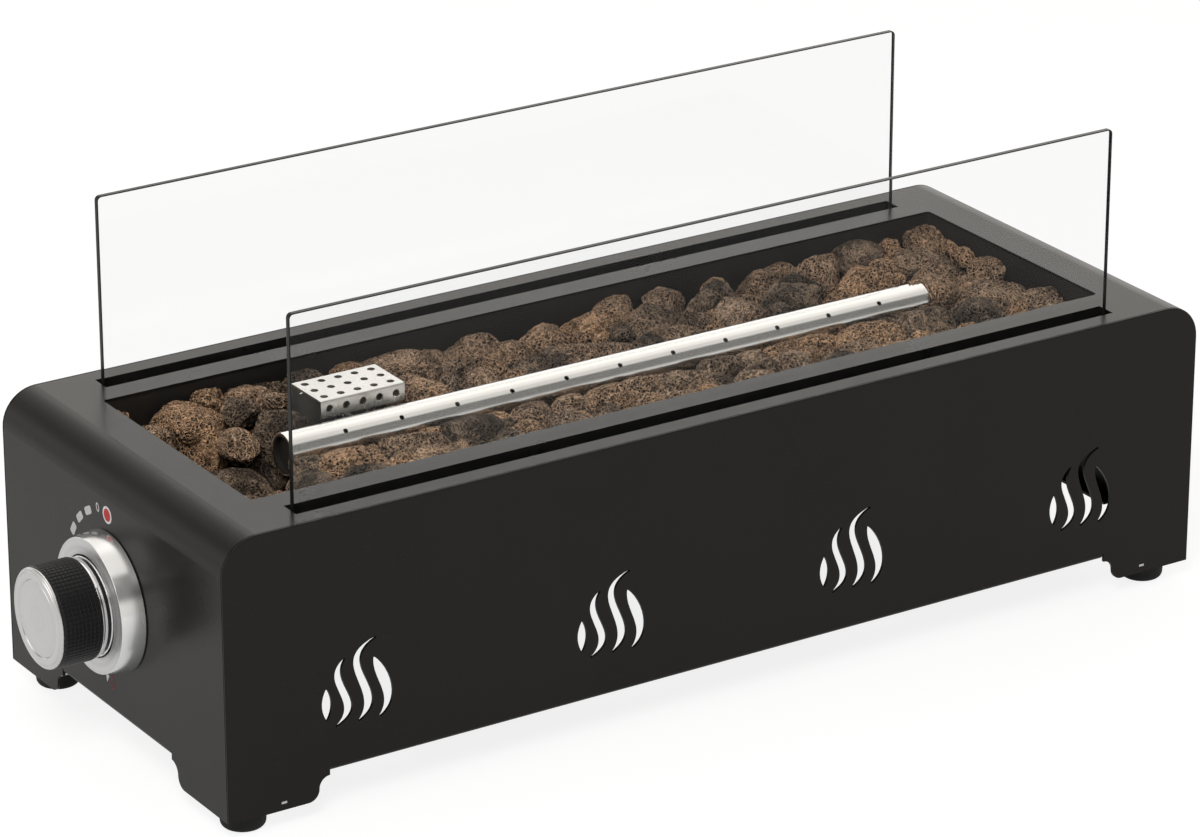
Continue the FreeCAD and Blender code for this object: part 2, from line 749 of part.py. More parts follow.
def pipe_nuts():
    """Hexagon nuts over the valve's outlet and over the elbow's inlet."""
    outlet_end = -half_length - valve_barrel_end + valve_outlet_length
    nuts = []
    for face, side, thread, z in ((outlet_end, 1, valve_outlet_radius, knob_z),
                                  (-elbow_boss_reach, -1, elbow_boss_radius, elbow_z)):
        start = face - side * pipe_insert
        nut = hex_prism(pipe_nut_flats, V(start, 0, z), V(side, 0, 0), pipe_nut_length)
        bore = along_x(pipe_radius + fit_gap, start - pipe_nut_length - 1, start + pipe_nut_length + 1, 0, z)
        socket = along_x(thread + fit_gap, *sorted((start - side, face)), 0, z)
        nuts.append(nut.cut(bore).cut(socket))
    return nuts


def gas_valve():
    """Barrel with a front flange, a nose through the wall, an outlet behind and an inlet below."""
    x = inlet_x
    shape = along_knob(valve_flange_radius, flange_back, bracket_back)
    shape = shape.fuse([
        along_knob(valve_barrel_radius, valve_barrel_end, flange_back),
        along_knob(valve_nose_radius, flange_back, valve_nose_end),
        along_knob(valve_outlet_radius, valve_barrel_end - valve_outlet_length, valve_barrel_end),
        upright(inlet_boss_radius, x, 0, inlet_top, knob_z)])
    bores = [along_knob(stem_radius + fit_gap, stem_inner_end - knob_travel - 1.5, valve_nose_end + 1),
             along_knob(pipe_radius + fit_gap, valve_barrel_end - valve_outlet_length - 1,
                        valve_barrel_end - valve_outlet_length + pipe_insert),
             along_knob(pipe_radius - pipe_wall, valve_barrel_end - valve_outlet_length, inlet_station),
             upright(inlet_bore_radius, x, 0, inlet_top - 1, knob_z)]
    for offset in (-bezel_screw_circle, bezel_screw_circle):
        bores.append(along_knob(bezel_screw_radius + fit_gap, flange_back - 1, bracket_back + 1, offset))
    return shape.cut(Part.makeCompound(bores)).removeSplitter()


def valve_bracket():
    """Plate between the end wall and the valve, with an arm out to the piezo igniter."""
    x0 = -half_length + sheet
    x1 = x0 + bracket_sheet
    arm = piezo_radius + bracket_arm_margin
    plate = box(x0, x1, -bracket_width / 2, bracket_width / 2,
                knob_z - bracket_height / 2, knob_z + bracket_height / 2)
    plate = plate.fuse(box(x0, x1, 0, piezo_offset + arm, knob_z - arm, knob_z + arm))
    cuts = [along_knob(valve_nose_radius + 2 * screw_clearance, bracket_back - 1, 0)]
    for offset in (-bezel_screw_circle, bezel_screw_circle):
        cuts.append(along_knob(bezel_screw_radius + screw_clearance, bracket_back - 1, 0, offset))
    return plate.cut(Part.makeCompound(cuts)).removeSplitter()


def inlet_fitting():
    """Brass flare stub under the valve, where a supply hose screws on."""
    x = inlet_x
    hex_low = inlet_top - inlet_hex_height
    thread_low = hex_low - inlet_thread_length
    shape = hex_prism(inlet_hex_flats, V(x, 0, hex_low), V(0, 0, 1), inlet_hex_height)
    shape = shape.fuse(upright(inlet_thread_radius, x, 0, thread_low, hex_low))
    cone = Part.makeCone(inlet_thread_radius - inlet_cone_length, inlet_thread_radius, inlet_cone_length,
                         V(x, 0, thread_low - inlet_cone_length))
    bore = upright(inlet_bore_radius, x, 0, thread_low - inlet_cone_length - 1, inlet_top + 1)
    return shape.fuse(cone).cut(bore).removeSplitter()


# ---- knob and bezel ----

def turned(points):
    """A ring turned about the knob's axis from (distance out, radius) points."""
    loop = [V(-half_length - u, 0, knob_z + r) for u, r in points]
    return Part.Face(Part.makePolygon(loop + loop[:1])).revolve(knob_axis, V(1, 0, 0), 360)


def circles_at(shape, out, radius):
    """The circular edges of a turned piece at one distance out and one radius."""
    x = -half_length - out
    return [e for e in shape.Edges if isinstance(e.Curve, Part.Circle)
            and abs(e.CenterOfMass.x - x) < 0.01 and abs(e.Curve.Radius - radius) < 0.01]


def knob_bezel():
    lip = bezel_bore_radius + bezel_lip
    ring = turned([(0, valve_nose_radius + 1), (0, bezel_base_radius), (bezel_front, bezel_front_radius),
                   (bezel_front, lip + 0.6), (bezel_front - 0.6, lip + 0.3), (bezel_front + 0.3, lip),
                   (bezel_front + 0.3, bezel_bore_radius), (bezel_floor, bezel_bore_radius),
                   (bezel_floor, valve_nose_radius + 1)])
    ring = ring.makeFillet(0.8, circles_at(ring, bezel_front, bezel_front_radius))
    holes = [along_knob(bezel_screw_radius + screw_clearance, -1, bezel_floor + 1, offset)
             for offset in (-bezel_screw_circle, bezel_screw_circle)]
    return ring.cut(Part.makeCompound(holes))


def bezel_screws():
    screws = []
    for offset in (-bezel_screw_circle, bezel_screw_circle):
        head = along_knob(bezel_screw_head_radius, bezel_floor, bezel_floor + bezel_screw_head_height, offset)
        screws.append(head.fuse(along_knob(bezel_screw_radius, flange_back - 1.5, bezel_floor, offset)))
    return screws


def d_shaft(radius, flat, near, far):
    """A round shaft with one flat, facing up when the knob is off."""
    shaft = along_knob(radius, near, far)
    return shaft.cut(box(-half_length - far - 1, -half_length - near + 1, -radius - 1, radius + 1,
                         knob_z + flat, knob_z + radius + 1))


def valve_stem():
    return along_knob(stem_radius, stem_inner_end, hub_rear).fuse(
        d_shaft(stem_radius, stem_flat, hub_rear, stem_outer_end)).removeSplitter()


def push_plate():
    return along_knob(push_plate_radius, push_plate_back, push_plate_front).cut(
        along_knob(stem_radius + fit_gap, push_plate_back - 1, push_plate_front + 1))


def return_spring():
    half = spring_wire / 2
    low = valve_nose_end + spring_end_gap + half
    height = push_plate_back - spring_end_gap - half - low
    helix = Part.makeHelix(height / spring_turns, height, spring_radius)
    corners = [V(spring_radius + a * half, 0, b * half) for a, b in ((-1, -1), (1, -1), (1, 1), (-1, 1))]
    section = Part.makePolygon(corners + corners[:1])
    coil = Part.Wire(helix.Edges).makePipeShell([section], True, True)
    coil.Placement = FreeCAD.Placement(knob_axis - V(low, 0, 0), FreeCAD.Rotation(V(0, 0, 1), V(-1, 0, 0)))
    return coil


def knob_grip():
    web = grip_front - grip_wall - 0.4
    inner_ring = ring_radius - ring_wall - fit_gap
    grip = turned([(knob_rear + 0.5, inner_ring - grip_wall), (knob_rear + 0.5, inner_ring),
                   (ring_front, inner_ring), (ring_front, grip_radius), (grip_front, grip_radius - 0.3),
                   (grip_front, 0), (hub_rear, 0), (hub_rear, hub_radius), (web, hub_radius),
                   (web, inner_ring - grip_wall)])
    bore = d_shaft(stem_radius + fit_gap, stem_flat + fit_gap, hub_rear - 1, stem_outer_end + 0.3)
    seat = turned([(grip_front - cap_spigot_depth - 0.2, cap_spigot_radius - cap_spigot_wall - 0.1),
                   (grip_front - cap_spigot_depth - 0.2, cap_spigot_radius + 0.1),
                   (grip_front + 1, cap_spigot_radius + 0.1),
                   (grip_front + 1, cap_spigot_radius - cap_spigot_wall - 0.1)])
    return grip.cut(bore).cut(seat)


def knob_ring():
    inner = ring_radius - ring_wall
    ring = turned([(knob_rear, inner), (knob_rear, ring_radius),
                   (ring_front, ring_radius), (ring_front, inner)])
    rims = circles_at(ring, ring_front, ring_radius) + circles_at(ring, knob_rear, ring_radius)
    return ring.makeFillet(0.6, rims)


def knob_cap():
    """Metal disc with a turned groove, held in the grip by a spigot ring."""
    groove = cap_front - cap_groove_depth
    outer = cap_groove_radius + cap_groove_width
    spigot = grip_front - cap_spigot_depth
    cap = turned([(grip_front, 0), (grip_front, cap_spigot_radius - cap_spigot_wall),
                  (spigot, cap_spigot_radius - cap_spigot_wall), (spigot, cap_spigot_radius),
                  (grip_front, cap_spigot_radius), (grip_front, cap_radius), (cap_front, cap_radius),
                  (cap_front, outer), (groove, outer), (groove, cap_groove_radius),
                  (cap_front - 0.2, cap_groove_radius), (cap_front - 0.2, 0)])
    return cap.makeFillet(0.6, circles_at(cap, cap_front, cap_radius))


# ---- igniter, flame sensor and guard ----

def igniter_guard():
    """Perforated hood: top, front lip and a rear wall standing on the pan's floor."""
    x0, x1 = guard_left, guard_left + guard_length
    y0, y1, t = guard_front, guard_front + guard_depth, guard_sheet
    shape = box(x0, x1, y0, y1, guard_top - t, guard_top)
    shape = shape.fuse([box(x0, x1, y0, y0 + t, guard_top - guard_lip, guard_top),
                        box(x0, x1, y1 - t, y1, pan_floor, guard_top),
                        box(x0, x1, y1 - guard_foot, y1, pan_floor, pan_floor + t)]).removeSplitter()
    folds = [e for e in shape.Edges if abs(e.CenterOfMass.z - guard_top) < 0.01
             and (abs(e.CenterOfMass.y - y0) < 0.01 or abs(e.CenterOfMass.y - y1) < 0.01)]
    shape = shape.makeFillet(0.8, folds)
    holes = []
    middle = (x0 + x1) / 2
    for i in range(guard_hole_columns):
        x = middle + (i - (guard_hole_columns - 1) / 2) * guard_hole_pitch
        for j in range(guard_hole_rows):
            y = (y0 + y1) / 2 + (j - (guard_hole_rows - 1) / 2) * guard_hole_pitch
            holes.append(upright(guard_hole_radius, x, y, guard_top - t - 1, guard_top + 1))
        z = guard_top - guard_lip / 2
        holes.append(Part.makeCylinder(guard_hole_radius, guard_depth + 2, V(x, y0 - 1, z), V(0, 1, 0)))
    return shape.cut(Part.makeCompound(holes))


def igniter_electrode():
    """Ceramic rod through the pan's floor, resting on its holder by a collar."""
    x, y = electrode_station.x, electrode_station.y
    seat = pan_floor + holder_sheet
    rod = upright(electrode_radius, x, y, sensor_bottom, electrode_top)
    collar = upright(electrode_collar_radius, x, y, seat, seat + electrode_collar_height)
    return rod.fuse(collar).removeSplitter()


def spark_wire():
    """Metal tip from the ceramic, bent over towards the burner tube."""
    x, y = electrode_station.x, electrode_station.y
    bend = electrode_top + electrode_tip_rise
    points = [V(x, y, electrode_top), V(x, y, bend), V(x, burner_radius + spark_gap, bend + 1)]
    return swept(points, electrode_tip_radius)


def thermocouple():
    x, y = probe_station.x, probe_station.y
    seat = pan_floor + holder_sheet
    shoulder = probe_top - probe_tip_length
    rod = upright(probe_radius, x, y, sensor_bottom, shoulder)
    collar = upright(probe_radius + 1.5, x, y, seat, seat + electrode_collar_height)
    return rod.fuse([collar, upright(probe_tip_radius, x, y, shoulder, probe_top)]).removeSplitter()


def sensor_holder():
    """Plate on the pan's floor that carries the igniter and the thermocouple."""
    x0, x1 = electrode_station.x - holder_margin, probe_station.x + holder_margin
    y0 = guard_front + 1
    y1 = guard_front + guard_depth - guard_foot - 0.5
    plate = box(x0, x1, y0, y1, pan_floor, pan_floor + holder_sheet)
    holes = [upright(electrode_radius + fit_gap, electrode_station.x, electrode_station.y, pan_floor - 1,
                     pan_floor + 9),
             upright(probe_radius + fit_gap, probe_station.x, probe_station.y, pan_floor - 1, pan_floor + 9)]
    return plate.cut(Part.makeCompound(holes))


def piezo_igniter():
    """Spark unit beside the valve, standing on the bracket."""
    back = bracket_back - piezo_length
    return along_knob(piezo_radius, back, bracket_back, piezo_offset).fuse(
        along_knob(piezo_terminal_radius, back - piezo_terminal_length, back, piezo_offset)).removeSplitter()


# ---- lava rocks ----

def nearer_side(outline, seed, other):
    """The part of a convex outline that is nearer to seed than to other."""
    away = other - seed
    limit = (seed + other).dot(away) / 2
    kept = []
    for a, b in zip(outline, outline[1:] + outline[:1]):
        over_a, over_b = a.dot(away) - limit, b.dot(away) - limit
        if over_a <= 0:
            kept.append(a)
        if over_a * over_b < 0:
            kept.append(a + (b - a) * (over_a / (over_a - over_b)))
    return kept


def cells(rng, x0, x1, y0, y1):
    """Uneven convex cells that fill a rectangle, as (middle, outline)."""
    across = max(1, round((x1 - x0) / rock_pitch))
    deep = max(1, round((y1 - y0) / rock_pitch))
    step_x, step_y = (x1 - x0) / across, (y1 - y0) / deep
    seeds = []
    for i in range(across):
        for j in range(deep):
            stray = V(rng.uniform(-rock_scatter, rock_scatter) * step_x,
                      rng.uniform(-rock_scatter, rock_scatter) * step_y, 0)
            seeds.append(V(x0 + (i + 0.5) * step_x, y0 + (j + 0.5) * step_y, 0) + stray)
    found = []
    for seed in seeds:
        outline = [V(x0, y0, 0), V(x1, y0, 0), V(x1, y1, 0), V(x0, y1, 0)]
        for other in seeds:
            if other is not seed:
                outline = nearer_side(outline, seed, other)
        middle = sum(outline, V(0, 0, 0)) / len(outline)
        found.append((middle, outline))
    return found


def reach_to(outline, middle, angle):
    """How far a cell's edge is from its middle in one direction."""
    ray = V(math.cos(angle), math.sin(angle), 0)
    nearest = None
    for a, b in zip(outline, outline[1:] + outline[:1]):
        outward = V(b.y - a.y, a.x - b.x, 0).normalize()
        toward = ray.dot(outward)
        if toward > 1e-6:
            reach = ((a - middle).dot(outward) - rock_gap) / toward
            nearest = reach if nearest is None else min(nearest, reach)
    return nearest


def rock(rng, middle, outline):
    """A lumpy stone of flat facets that stands on the pan's floor inside its cell."""
    height = rng.uniform(*rock_heights)
    turn = rng.uniform(0, 2 * math.pi)
    angles = [turn + 2 * math.pi / rock_sides * (k + rng.uniform(-0.2, 0.2)) for k in range(rock_sides)]
    roundest = rock_stretch * min(reach_to(outline, middle, a) for a in angles)
    rings = []
    for level, spread in rock_levels:
        ring = []
        for angle in angles:
            reach = min(reach_to(outline, middle, angle), roundest) * spread * rng.uniform(0.88, 1.0)
            lift = height * (level + (rng.uniform(-0.06, 0.06) if level else 0))
            ring.append(middle + V(reach * math.cos(angle), reach * math.sin(angle), pan_floor + lift))
        rings.append(ring)
    stray = 0.1 * height
    top = middle + V(rng.uniform(-stray, stray), rng.uniform(-stray, stray), pan_floor + height)
    faces = [rings[0][::-1]]
    for lower, upper in zip(rings, rings[1:]):
        for k in range(rock_sides):
            n = (k + 1) % rock_sides
            faces += [[lower[k], lower[n], upper[n]], [lower[k], upper[n], upper[k]]]
    faces += [[rings[-1][k], rings[-1][(k + 1) % rock_sides], top] for k in range(rock_sides)]
    return Part.Solid(Part.Shell([Part.Face(Part.makePolygon(f + f[:1])) for f in faces]))


def lava_rocks():
    """Front, rear and end groups of rocks round the burner and its guard."""
    rng = random.Random(rock_seed)
    wall_x, wall_y = pan_half_length, pan_half_width
    tube_side = saddle_half_width + 1
    tube_end = burner_length / 2 + 1
    hood_0, hood_1 = guard_left - 1, guard_left + guard_length + 1
    behind_hood = guard_front + guard_depth + 1

    def fill(*patches):
        return [rock(rng, *cell) for patch in patches for cell in cells(rng, *patch)]

    front = fill((-tube_end, tube_end, -wall_y, -tube_side))
    rear = fill((-tube_end, hood_0, tube_side, wall_y), (hood_0, hood_1, behind_hood, wall_y),
                (hood_1, tube_end, tube_side, wall_y))
    ends = fill((-wall_x, -tube_end, -wall_y, wall_y), (tube_end, wall_x, -wall_y, wall_y))
    return front, rear, ends


def main():
    os.makedirs("parts", exist_ok=True)
    mirror_y = (V(0, 0, 0), V(0, 1, 0))

    save("body_shell", body_shell())
    panel = side_panel()
    save("front_panel", panel)
    panel.rotate(V(0, 0, 0), V(0, 0, 1), 180)
    save("rear_panel", panel)
    save("foot_plates", four_corners(foot_plate))
    save("rubber_feet", four_corners(lambda: foot_at_corner(rubber_foot)))
    save("foot_screws", four_corners(lambda: foot_at_corner(foot_screw)))
    save("foot_nuts", four_corners(lambda: foot_at_corner(foot_nut)))

    channel, shoes, pane = glass_channel(), glass_shoes(), glass_panel()
    save("front_glass_channel", channel)
    save("rear_glass_channel", channel.mirror(*mirror_y))
    save("front_glass_shoes", shoes)
    save("rear_glass_shoes", [shoe.mirror(*mirror_y) for shoe in shoes])
    save("front_glass", pane)
    save("rear_glass", pane.mirror(*mirror_y))

    save("burner_pan", burner_pan())
    save("pan_nuts", pan_nuts())
    save("burner_tube", burner_tube())
    save("burner_plugs", burner_plugs())
    save("burner_saddles", burner_saddles())
    save("mixer_tube", mixer_tube())
    save("mixer_nut", mixer_nut())

    save("orifice_elbow", orifice_elbow())
    save("gas_pipe", gas_pipe())
    save("pipe_nuts", pipe_nuts())
    save("gas_valve", gas_valve())
    save("valve_bracket", valve_bracket())
    save("inlet_fitting", inlet_fitting())

    save("knob_bezel", knob_bezel())
    save("bezel_screws", bezel_screws())
    save("valve_stem", valve_stem())
    save("push_plate", push_plate())
    save("return_spring", return_spring())
    save("knob_grip", knob_grip())
    save("knob_ring", knob_ring())
    save("knob_cap", knob_cap())

    save("igniter_guard", igniter_guard())
    save("sensor_holder", sensor_holder())
    save("igniter_electrode", igniter_electrode())
    save("spark_wire", spark_wire())
    save("thermocouple", thermocouple())
    save("piezo_igniter", piezo_igniter())

    front_rocks, rear_rocks, end_rocks = lava_rocks()
    save("front_rocks", front_rocks)
    save("rear_rocks", rear_rocks)
    save("end_rocks", end_rocks)


main()
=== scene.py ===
# Tabletop gas fire pit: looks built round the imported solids. Metres, +Z up, knob at the -X end.
# Sizes and places of pieces are given in millimetres, the studio's in metres.
import math
import random

import bmesh
import bpy
from mathutils import Matrix, Vector, noise
from mathutils.bvhtree import BVHTree


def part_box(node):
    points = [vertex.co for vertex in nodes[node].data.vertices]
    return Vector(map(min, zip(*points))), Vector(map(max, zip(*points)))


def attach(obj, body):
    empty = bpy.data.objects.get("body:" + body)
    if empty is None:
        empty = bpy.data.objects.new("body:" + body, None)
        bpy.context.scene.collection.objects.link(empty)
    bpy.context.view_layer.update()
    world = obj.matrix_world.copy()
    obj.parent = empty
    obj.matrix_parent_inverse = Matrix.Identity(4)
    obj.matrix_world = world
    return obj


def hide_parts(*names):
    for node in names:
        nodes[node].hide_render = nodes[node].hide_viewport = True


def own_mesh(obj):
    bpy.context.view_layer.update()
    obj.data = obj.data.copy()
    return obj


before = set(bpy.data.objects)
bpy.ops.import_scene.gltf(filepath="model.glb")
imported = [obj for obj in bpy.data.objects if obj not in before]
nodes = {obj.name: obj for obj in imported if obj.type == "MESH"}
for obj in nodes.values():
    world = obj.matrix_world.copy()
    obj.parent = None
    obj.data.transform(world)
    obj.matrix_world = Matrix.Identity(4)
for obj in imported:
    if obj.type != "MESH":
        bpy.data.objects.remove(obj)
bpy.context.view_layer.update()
scene = bpy.context.scene
scene.view_settings.view_transform = "Standard"
print("frame loaded,", len(nodes), "nodes")

perMetre = 1000  # millimetres
mergeDistance = 0.001  # points closer than this become one


def mm(value):
    return value / perMetre


# Helpers for materials

def addNode(tree, kind, sockets=None, **settings):
    node = tree.nodes.new("ShaderNode" + kind)
    for name, value in settings.items():
        setattr(node, name, value)
    for name, value in (sockets or {}).items():
        node.inputs[name].default_value = value
    return node


def link(tree, source, target):
    tree.links.new(source, target)


def newGroup(name, inputs, outputs):
    group = bpy.data.node_groups.new(name, "ShaderNodeTree")
    for label, kind, value in inputs:
        socket = group.interface.new_socket(label, in_out="INPUT", socket_type="NodeSocket" + kind)
        socket.default_value = value
    for label, kind in outputs:
        group.interface.new_socket(label, in_out="OUTPUT", socket_type="NodeSocket" + kind)
    return group, group.nodes.new("NodeGroupInput"), group.nodes.new("NodeGroupOutput")


def useGroup(tree, group, **values):
    node = tree.nodes.new("ShaderNodeGroup")
    node.node_tree = group
    for name, value in values.items():
        node.inputs[name].default_value = value
    return node


def mathNode(tree, operation, first, second):
    node = addNode(tree, "Math", operation=operation)
    for socket, value in zip(node.inputs, (first, second)):
        if isinstance(value, (int, float)):
            socket.default_value = value
        else:
            link(tree, value, socket)
    return node.outputs[0]


def remap(tree, source, low, high, fromLow=0.0, fromHigh=1.0):
    node = addNode(tree, "MapRange", {"From Min": fromLow, "From Max": fromHigh,
                                      "To Min": low, "To Max": high})
    link(tree, source, node.inputs["Value"])
    return node.outputs["Result"]


def blendColours(tree, factor, first, second):
    node = addNode(tree, "Mix", data_type="RGBA")
    link(tree, factor, node.inputs["Factor"])
    for socket, value in ((node.inputs[6], first), (node.inputs[7], second)):  # its colour sockets
        if isinstance(value, tuple):
            socket.default_value = (*value, 1)
        else:
            link(tree, value, socket)
    return node.outputs[2]


def mixShaders(tree, factor, first, second):
    node = addNode(tree, "MixShader")
    link(tree, factor, node.inputs["Fac"])
    link(tree, first, node.inputs[1])
    link(tree, second, node.inputs[2])
    return node.outputs[0]


def bumpFrom(tree, shader, height, distance):
    bump = addNode(tree, "Bump", {"Strength": 1.0, "Distance": distance})
    link(tree, height, bump.inputs["Height"])
    link(tree, bump.outputs["Normal"], shader.inputs["Normal"])


def newMaterial(name, **sockets):
    material = bpy.data.materials.new(name)
    material.use_nodes = True
    tree = material.node_tree
    shader = tree.nodes["Principled BSDF"]
    for label, value in sockets.items():
        shader.inputs[label.replace("_", " ")].default_value = value
    return material, tree, shader


# Effects that several finishes share

def buildGrain():  # fine and broad unevenness of a coated or moulded surface
    group, start, end = newGroup(
        "surfaceGrain",
        [("Grain", "Float", 900.0), ("Broad", "Float", 14.0)],
        [("Height", "Float"), ("Mottle", "Float")])
    place = addNode(group, "TexCoord")
    fine = addNode(group, "TexNoise", {"Detail": 2.0, "Roughness": 0.55})
    broad = addNode(group, "TexNoise", {"Detail": 4.0, "Roughness": 0.6})
    for texture, label, result in ((fine, "Grain", "Height"), (broad, "Broad", "Mottle")):
        link(group, place.outputs["Object"], texture.inputs["Vector"])
        link(group, start.outputs[label], texture.inputs["Scale"])
        link(group, texture.outputs["Fac"], end.inputs[result])
    return group


def buildBrushing():  # straight brushing lines, stretched along one axis by the density
    group, start, end = newGroup(
        "brushingLines",
        [("Density", "Vector", (8.0, 2400.0, 2400.0)), ("Smudge", "Float", 22.0)],
        [("Height", "Float"), ("Smudged", "Float")])
    place = addNode(group, "TexCoord")
    stretch = addNode(group, "VectorMath", operation="MULTIPLY")
    link(group, place.outputs["Object"], stretch.inputs[0])
    link(group, start.outputs["Density"], stretch.inputs[1])
    lines = addNode(group, "TexNoise", {"Scale": 1.0, "Detail": 2.0})
    smudge = addNode(group, "TexNoise", {"Detail": 5.0, "Roughness": 0.65})
    link(group, stretch.outputs[0], lines.inputs["Vector"])
    link(group, place.outputs["Object"], smudge.inputs["Vector"])
    link(group, start.outputs["Smudge"], smudge.inputs["Scale"])
    link(group, lines.outputs["Fac"], end.inputs["Height"])
    link(group, smudge.outputs["Fac"], end.inputs["Smudged"])
    return group


def buildTurning():  # lathe lines round the knob's axis
    group, start, end = newGroup(
        "turningLines",
        [("Centre", "Vector", (0.0, 0.0, 0.0)), ("Density", "Float", 2600.0)],
        [("Height", "Float"), ("Streak", "Float")])
    place = addNode(group, "TexCoord")
    offset = addNode(group, "VectorMath", operation="SUBTRACT")
    flatten = addNode(group, "VectorMath", operation="MULTIPLY")
    flatten.inputs[1].default_value = (0, 1, 1)
    radius = addNode(group, "VectorMath", operation="LENGTH")
    link(group, place.outputs["Object"], offset.inputs[0])
    link(group, start.outputs["Centre"], offset.inputs[1])
    link(group, offset.outputs[0], flatten.inputs[0])
    link(group, flatten.outputs[0], radius.inputs[0])
    fine = addNode(group, "TexNoise", {"Detail": 3.0}, noise_dimensions="1D")
    wide = addNode(group, "TexNoise", {"Scale": 260.0, "Detail": 3.0}, noise_dimensions="1D")
    for texture, result in ((fine, "Height"), (wide, "Streak")):
        link(group, radius.outputs["Value"], texture.inputs["W"])
        link(group, texture.outputs["Fac"], end.inputs[result])
    link(group, start.outputs["Density"], fine.inputs["Scale"])
    return group


holes = {"bendScale": 240.0, "bend": 4.5, "openness": (1.0, 0.5), "crustSpan": (0.45, 0.65),
         "largeSpan": (0.08, 0.26), "smallSpan": (0.22, 0.55), "smallShare": 0.65,
         "crumbScale": 1500.0, "crumbShare": 0.45}


def buildPits():  # gas holes with thin walls, fine holes in the walls, and patches of closed crust
    group, start, end = newGroup(
        "lavaPits",
        [("Large", "Float", 600.0), ("Small", "Float", 1300.0), ("Patch", "Float", 60.0)],
        [("Height", "Float"), ("Pit", "Float"), ("Patch", "Float")])
    place = addNode(group, "TexCoord")
    bend = addNode(group, "TexNoise", {"Scale": holes["bendScale"], "Detail": 2.0})
    shift = addNode(group, "VectorMath", operation="SCALE")
    shift.inputs["Scale"].default_value = mm(holes["bend"])
    moved = addNode(group, "VectorMath", operation="ADD")
    link(group, place.outputs["Object"], bend.inputs["Vector"])
    link(group, bend.outputs["Color"], shift.inputs[0])
    link(group, place.outputs["Object"], moved.inputs[0])
    link(group, shift.outputs[0], moved.inputs[1])
    patch = addNode(group, "TexNoise", {"Detail": 5.0, "Roughness": 0.62})
    link(group, place.outputs["Object"], patch.inputs["Vector"])
    link(group, start.outputs["Patch"], patch.inputs["Scale"])
    large = addNode(group, "TexVoronoi", feature="DISTANCE_TO_EDGE")
    small = addNode(group, "TexVoronoi")
    for cells, label in ((large, "Large"), (small, "Small")):
        link(group, moved.outputs[0], cells.inputs["Vector"])
        link(group, start.outputs[label], cells.inputs["Scale"])
    openness = remap(group, patch.outputs["Fac"], *holes["openness"], *holes["crustSpan"])
    wide = remap(group, large.outputs["Distance"], 0.0, 1.0, *holes["largeSpan"])
    fine = remap(group, small.outputs["Distance"], 1.0, 0.0, *holes["smallSpan"])
    deepest = mathNode(group, "MAXIMUM", mathNode(group, "MULTIPLY", wide, openness),
                       mathNode(group, "MULTIPLY", fine, holes["smallShare"]))
    crumbs = addNode(group, "TexNoise", {"Scale": holes["crumbScale"], "Detail": 3.0, "Roughness": 0.7})
    link(group, place.outputs["Object"], crumbs.inputs["Vector"])
    rough = mathNode(group, "MULTIPLY", crumbs.outputs["Fac"], holes["crumbShare"])
    link(group, mathNode(group, "SUBTRACT", rough, deepest), end.inputs["Height"])
    # Pit is how deep a point lies in a hole; the stones paint shade by it
    link(group, deepest, end.inputs["Pit"])
    link(group, patch.outputs["Fac"], end.inputs["Patch"])
    return group


grain = buildGrain()
brushing = buildBrushing()
turning = buildTurning()
lavaPits = buildPits()
capLow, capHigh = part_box("knob_cap")
knobAxis = (capLow + capHigh) / 2
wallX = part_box("body_shell")[0].x


# Finishes

patchSpan = (0.3, 0.7)  # the part of a patch effect's range over which a finish changes


def coated(name, colour, dull, bright, grainScale, depth, specular, tint=0.25, gleam=(1, 1, 1)):
    material, tree, shader = newMaterial(name, Specular_IOR_Level=specular)
    shader.inputs["Specular Tint"].default_value = (*gleam, 1)
    effect = useGroup(tree, grain, Grain=grainScale, Broad=14.0)
    low = tuple(part * (1 - tint) for part in colour)
    high = tuple(part * (1 + tint) for part in colour)
    link(tree, blendColours(tree, effect.outputs["Mottle"], low, high), shader.inputs["Base Color"])
    link(tree, remap(tree, effect.outputs["Mottle"], bright, dull, *patchSpan), shader.inputs["Roughness"])
    bumpFrom(tree, shader, effect.outputs["Height"], mm(depth))
    return material


def patchyMetal(name, colour, smooth, rough, depth, group, patches, stain, **values):
    material, tree, shader = newMaterial(name, Metallic=1.0)
    effect = useGroup(tree, group, **values)
    stained = tuple(part * stain for part in colour)
    link(tree, blendColours(tree, effect.outputs[patches], colour, stained), shader.inputs["Base Color"])
    link(tree, remap(tree, effect.outputs[patches], smooth, rough, *patchSpan), shader.inputs["Roughness"])
    bumpFrom(tree, shader, effect.outputs["Height"], mm(depth))
    return material


def brushedMetal(name, colour, smooth, rough, density, depth):
    return patchyMetal(name, colour, smooth, rough, depth, brushing, "Smudged", stain=0.86,
                       Density=density, Smudge=22.0)


def castMetal(name, colour, smooth, rough, grainScale, depth):
    return patchyMetal(name, colour, smooth, rough, depth, grain, "Mottle", stain=0.8,
                       Grain=grainScale, Broad=60.0)


def turnedMetal(name, colour, smooth, rough, density, depth):
    return patchyMetal(name, colour, smooth, rough, depth, turning, "Streak", stain=0.9,
                       Centre=knobAxis, Density=density)


# hole is the near-black colour of painted shade in the stones' holes; holeShade and holeSpan set how deep a
# hole must be to take it
lavaLook = {"tan": (0.76, 0.54, 0.37), "warmTan": (0.78, 0.48, 0.28), "brown": (0.25, 0.155, 0.1),
            "charcoal": (0.12, 0.09, 0.067), "hole": (0.006, 0.005, 0.004), "depth": 1.3,
            "roughness": 0.92, "specular": 0.25, "brownSpan": (0.15, 0.4), "warmSpan": (0.4, 0.8),
            "toneShare": 0.35, "crustSpan": (0.45, 0.9), "modelledShare": 0.6,
            "holeShade": (0.0, 0.97), "holeSpan": (0.05, 0.75)}


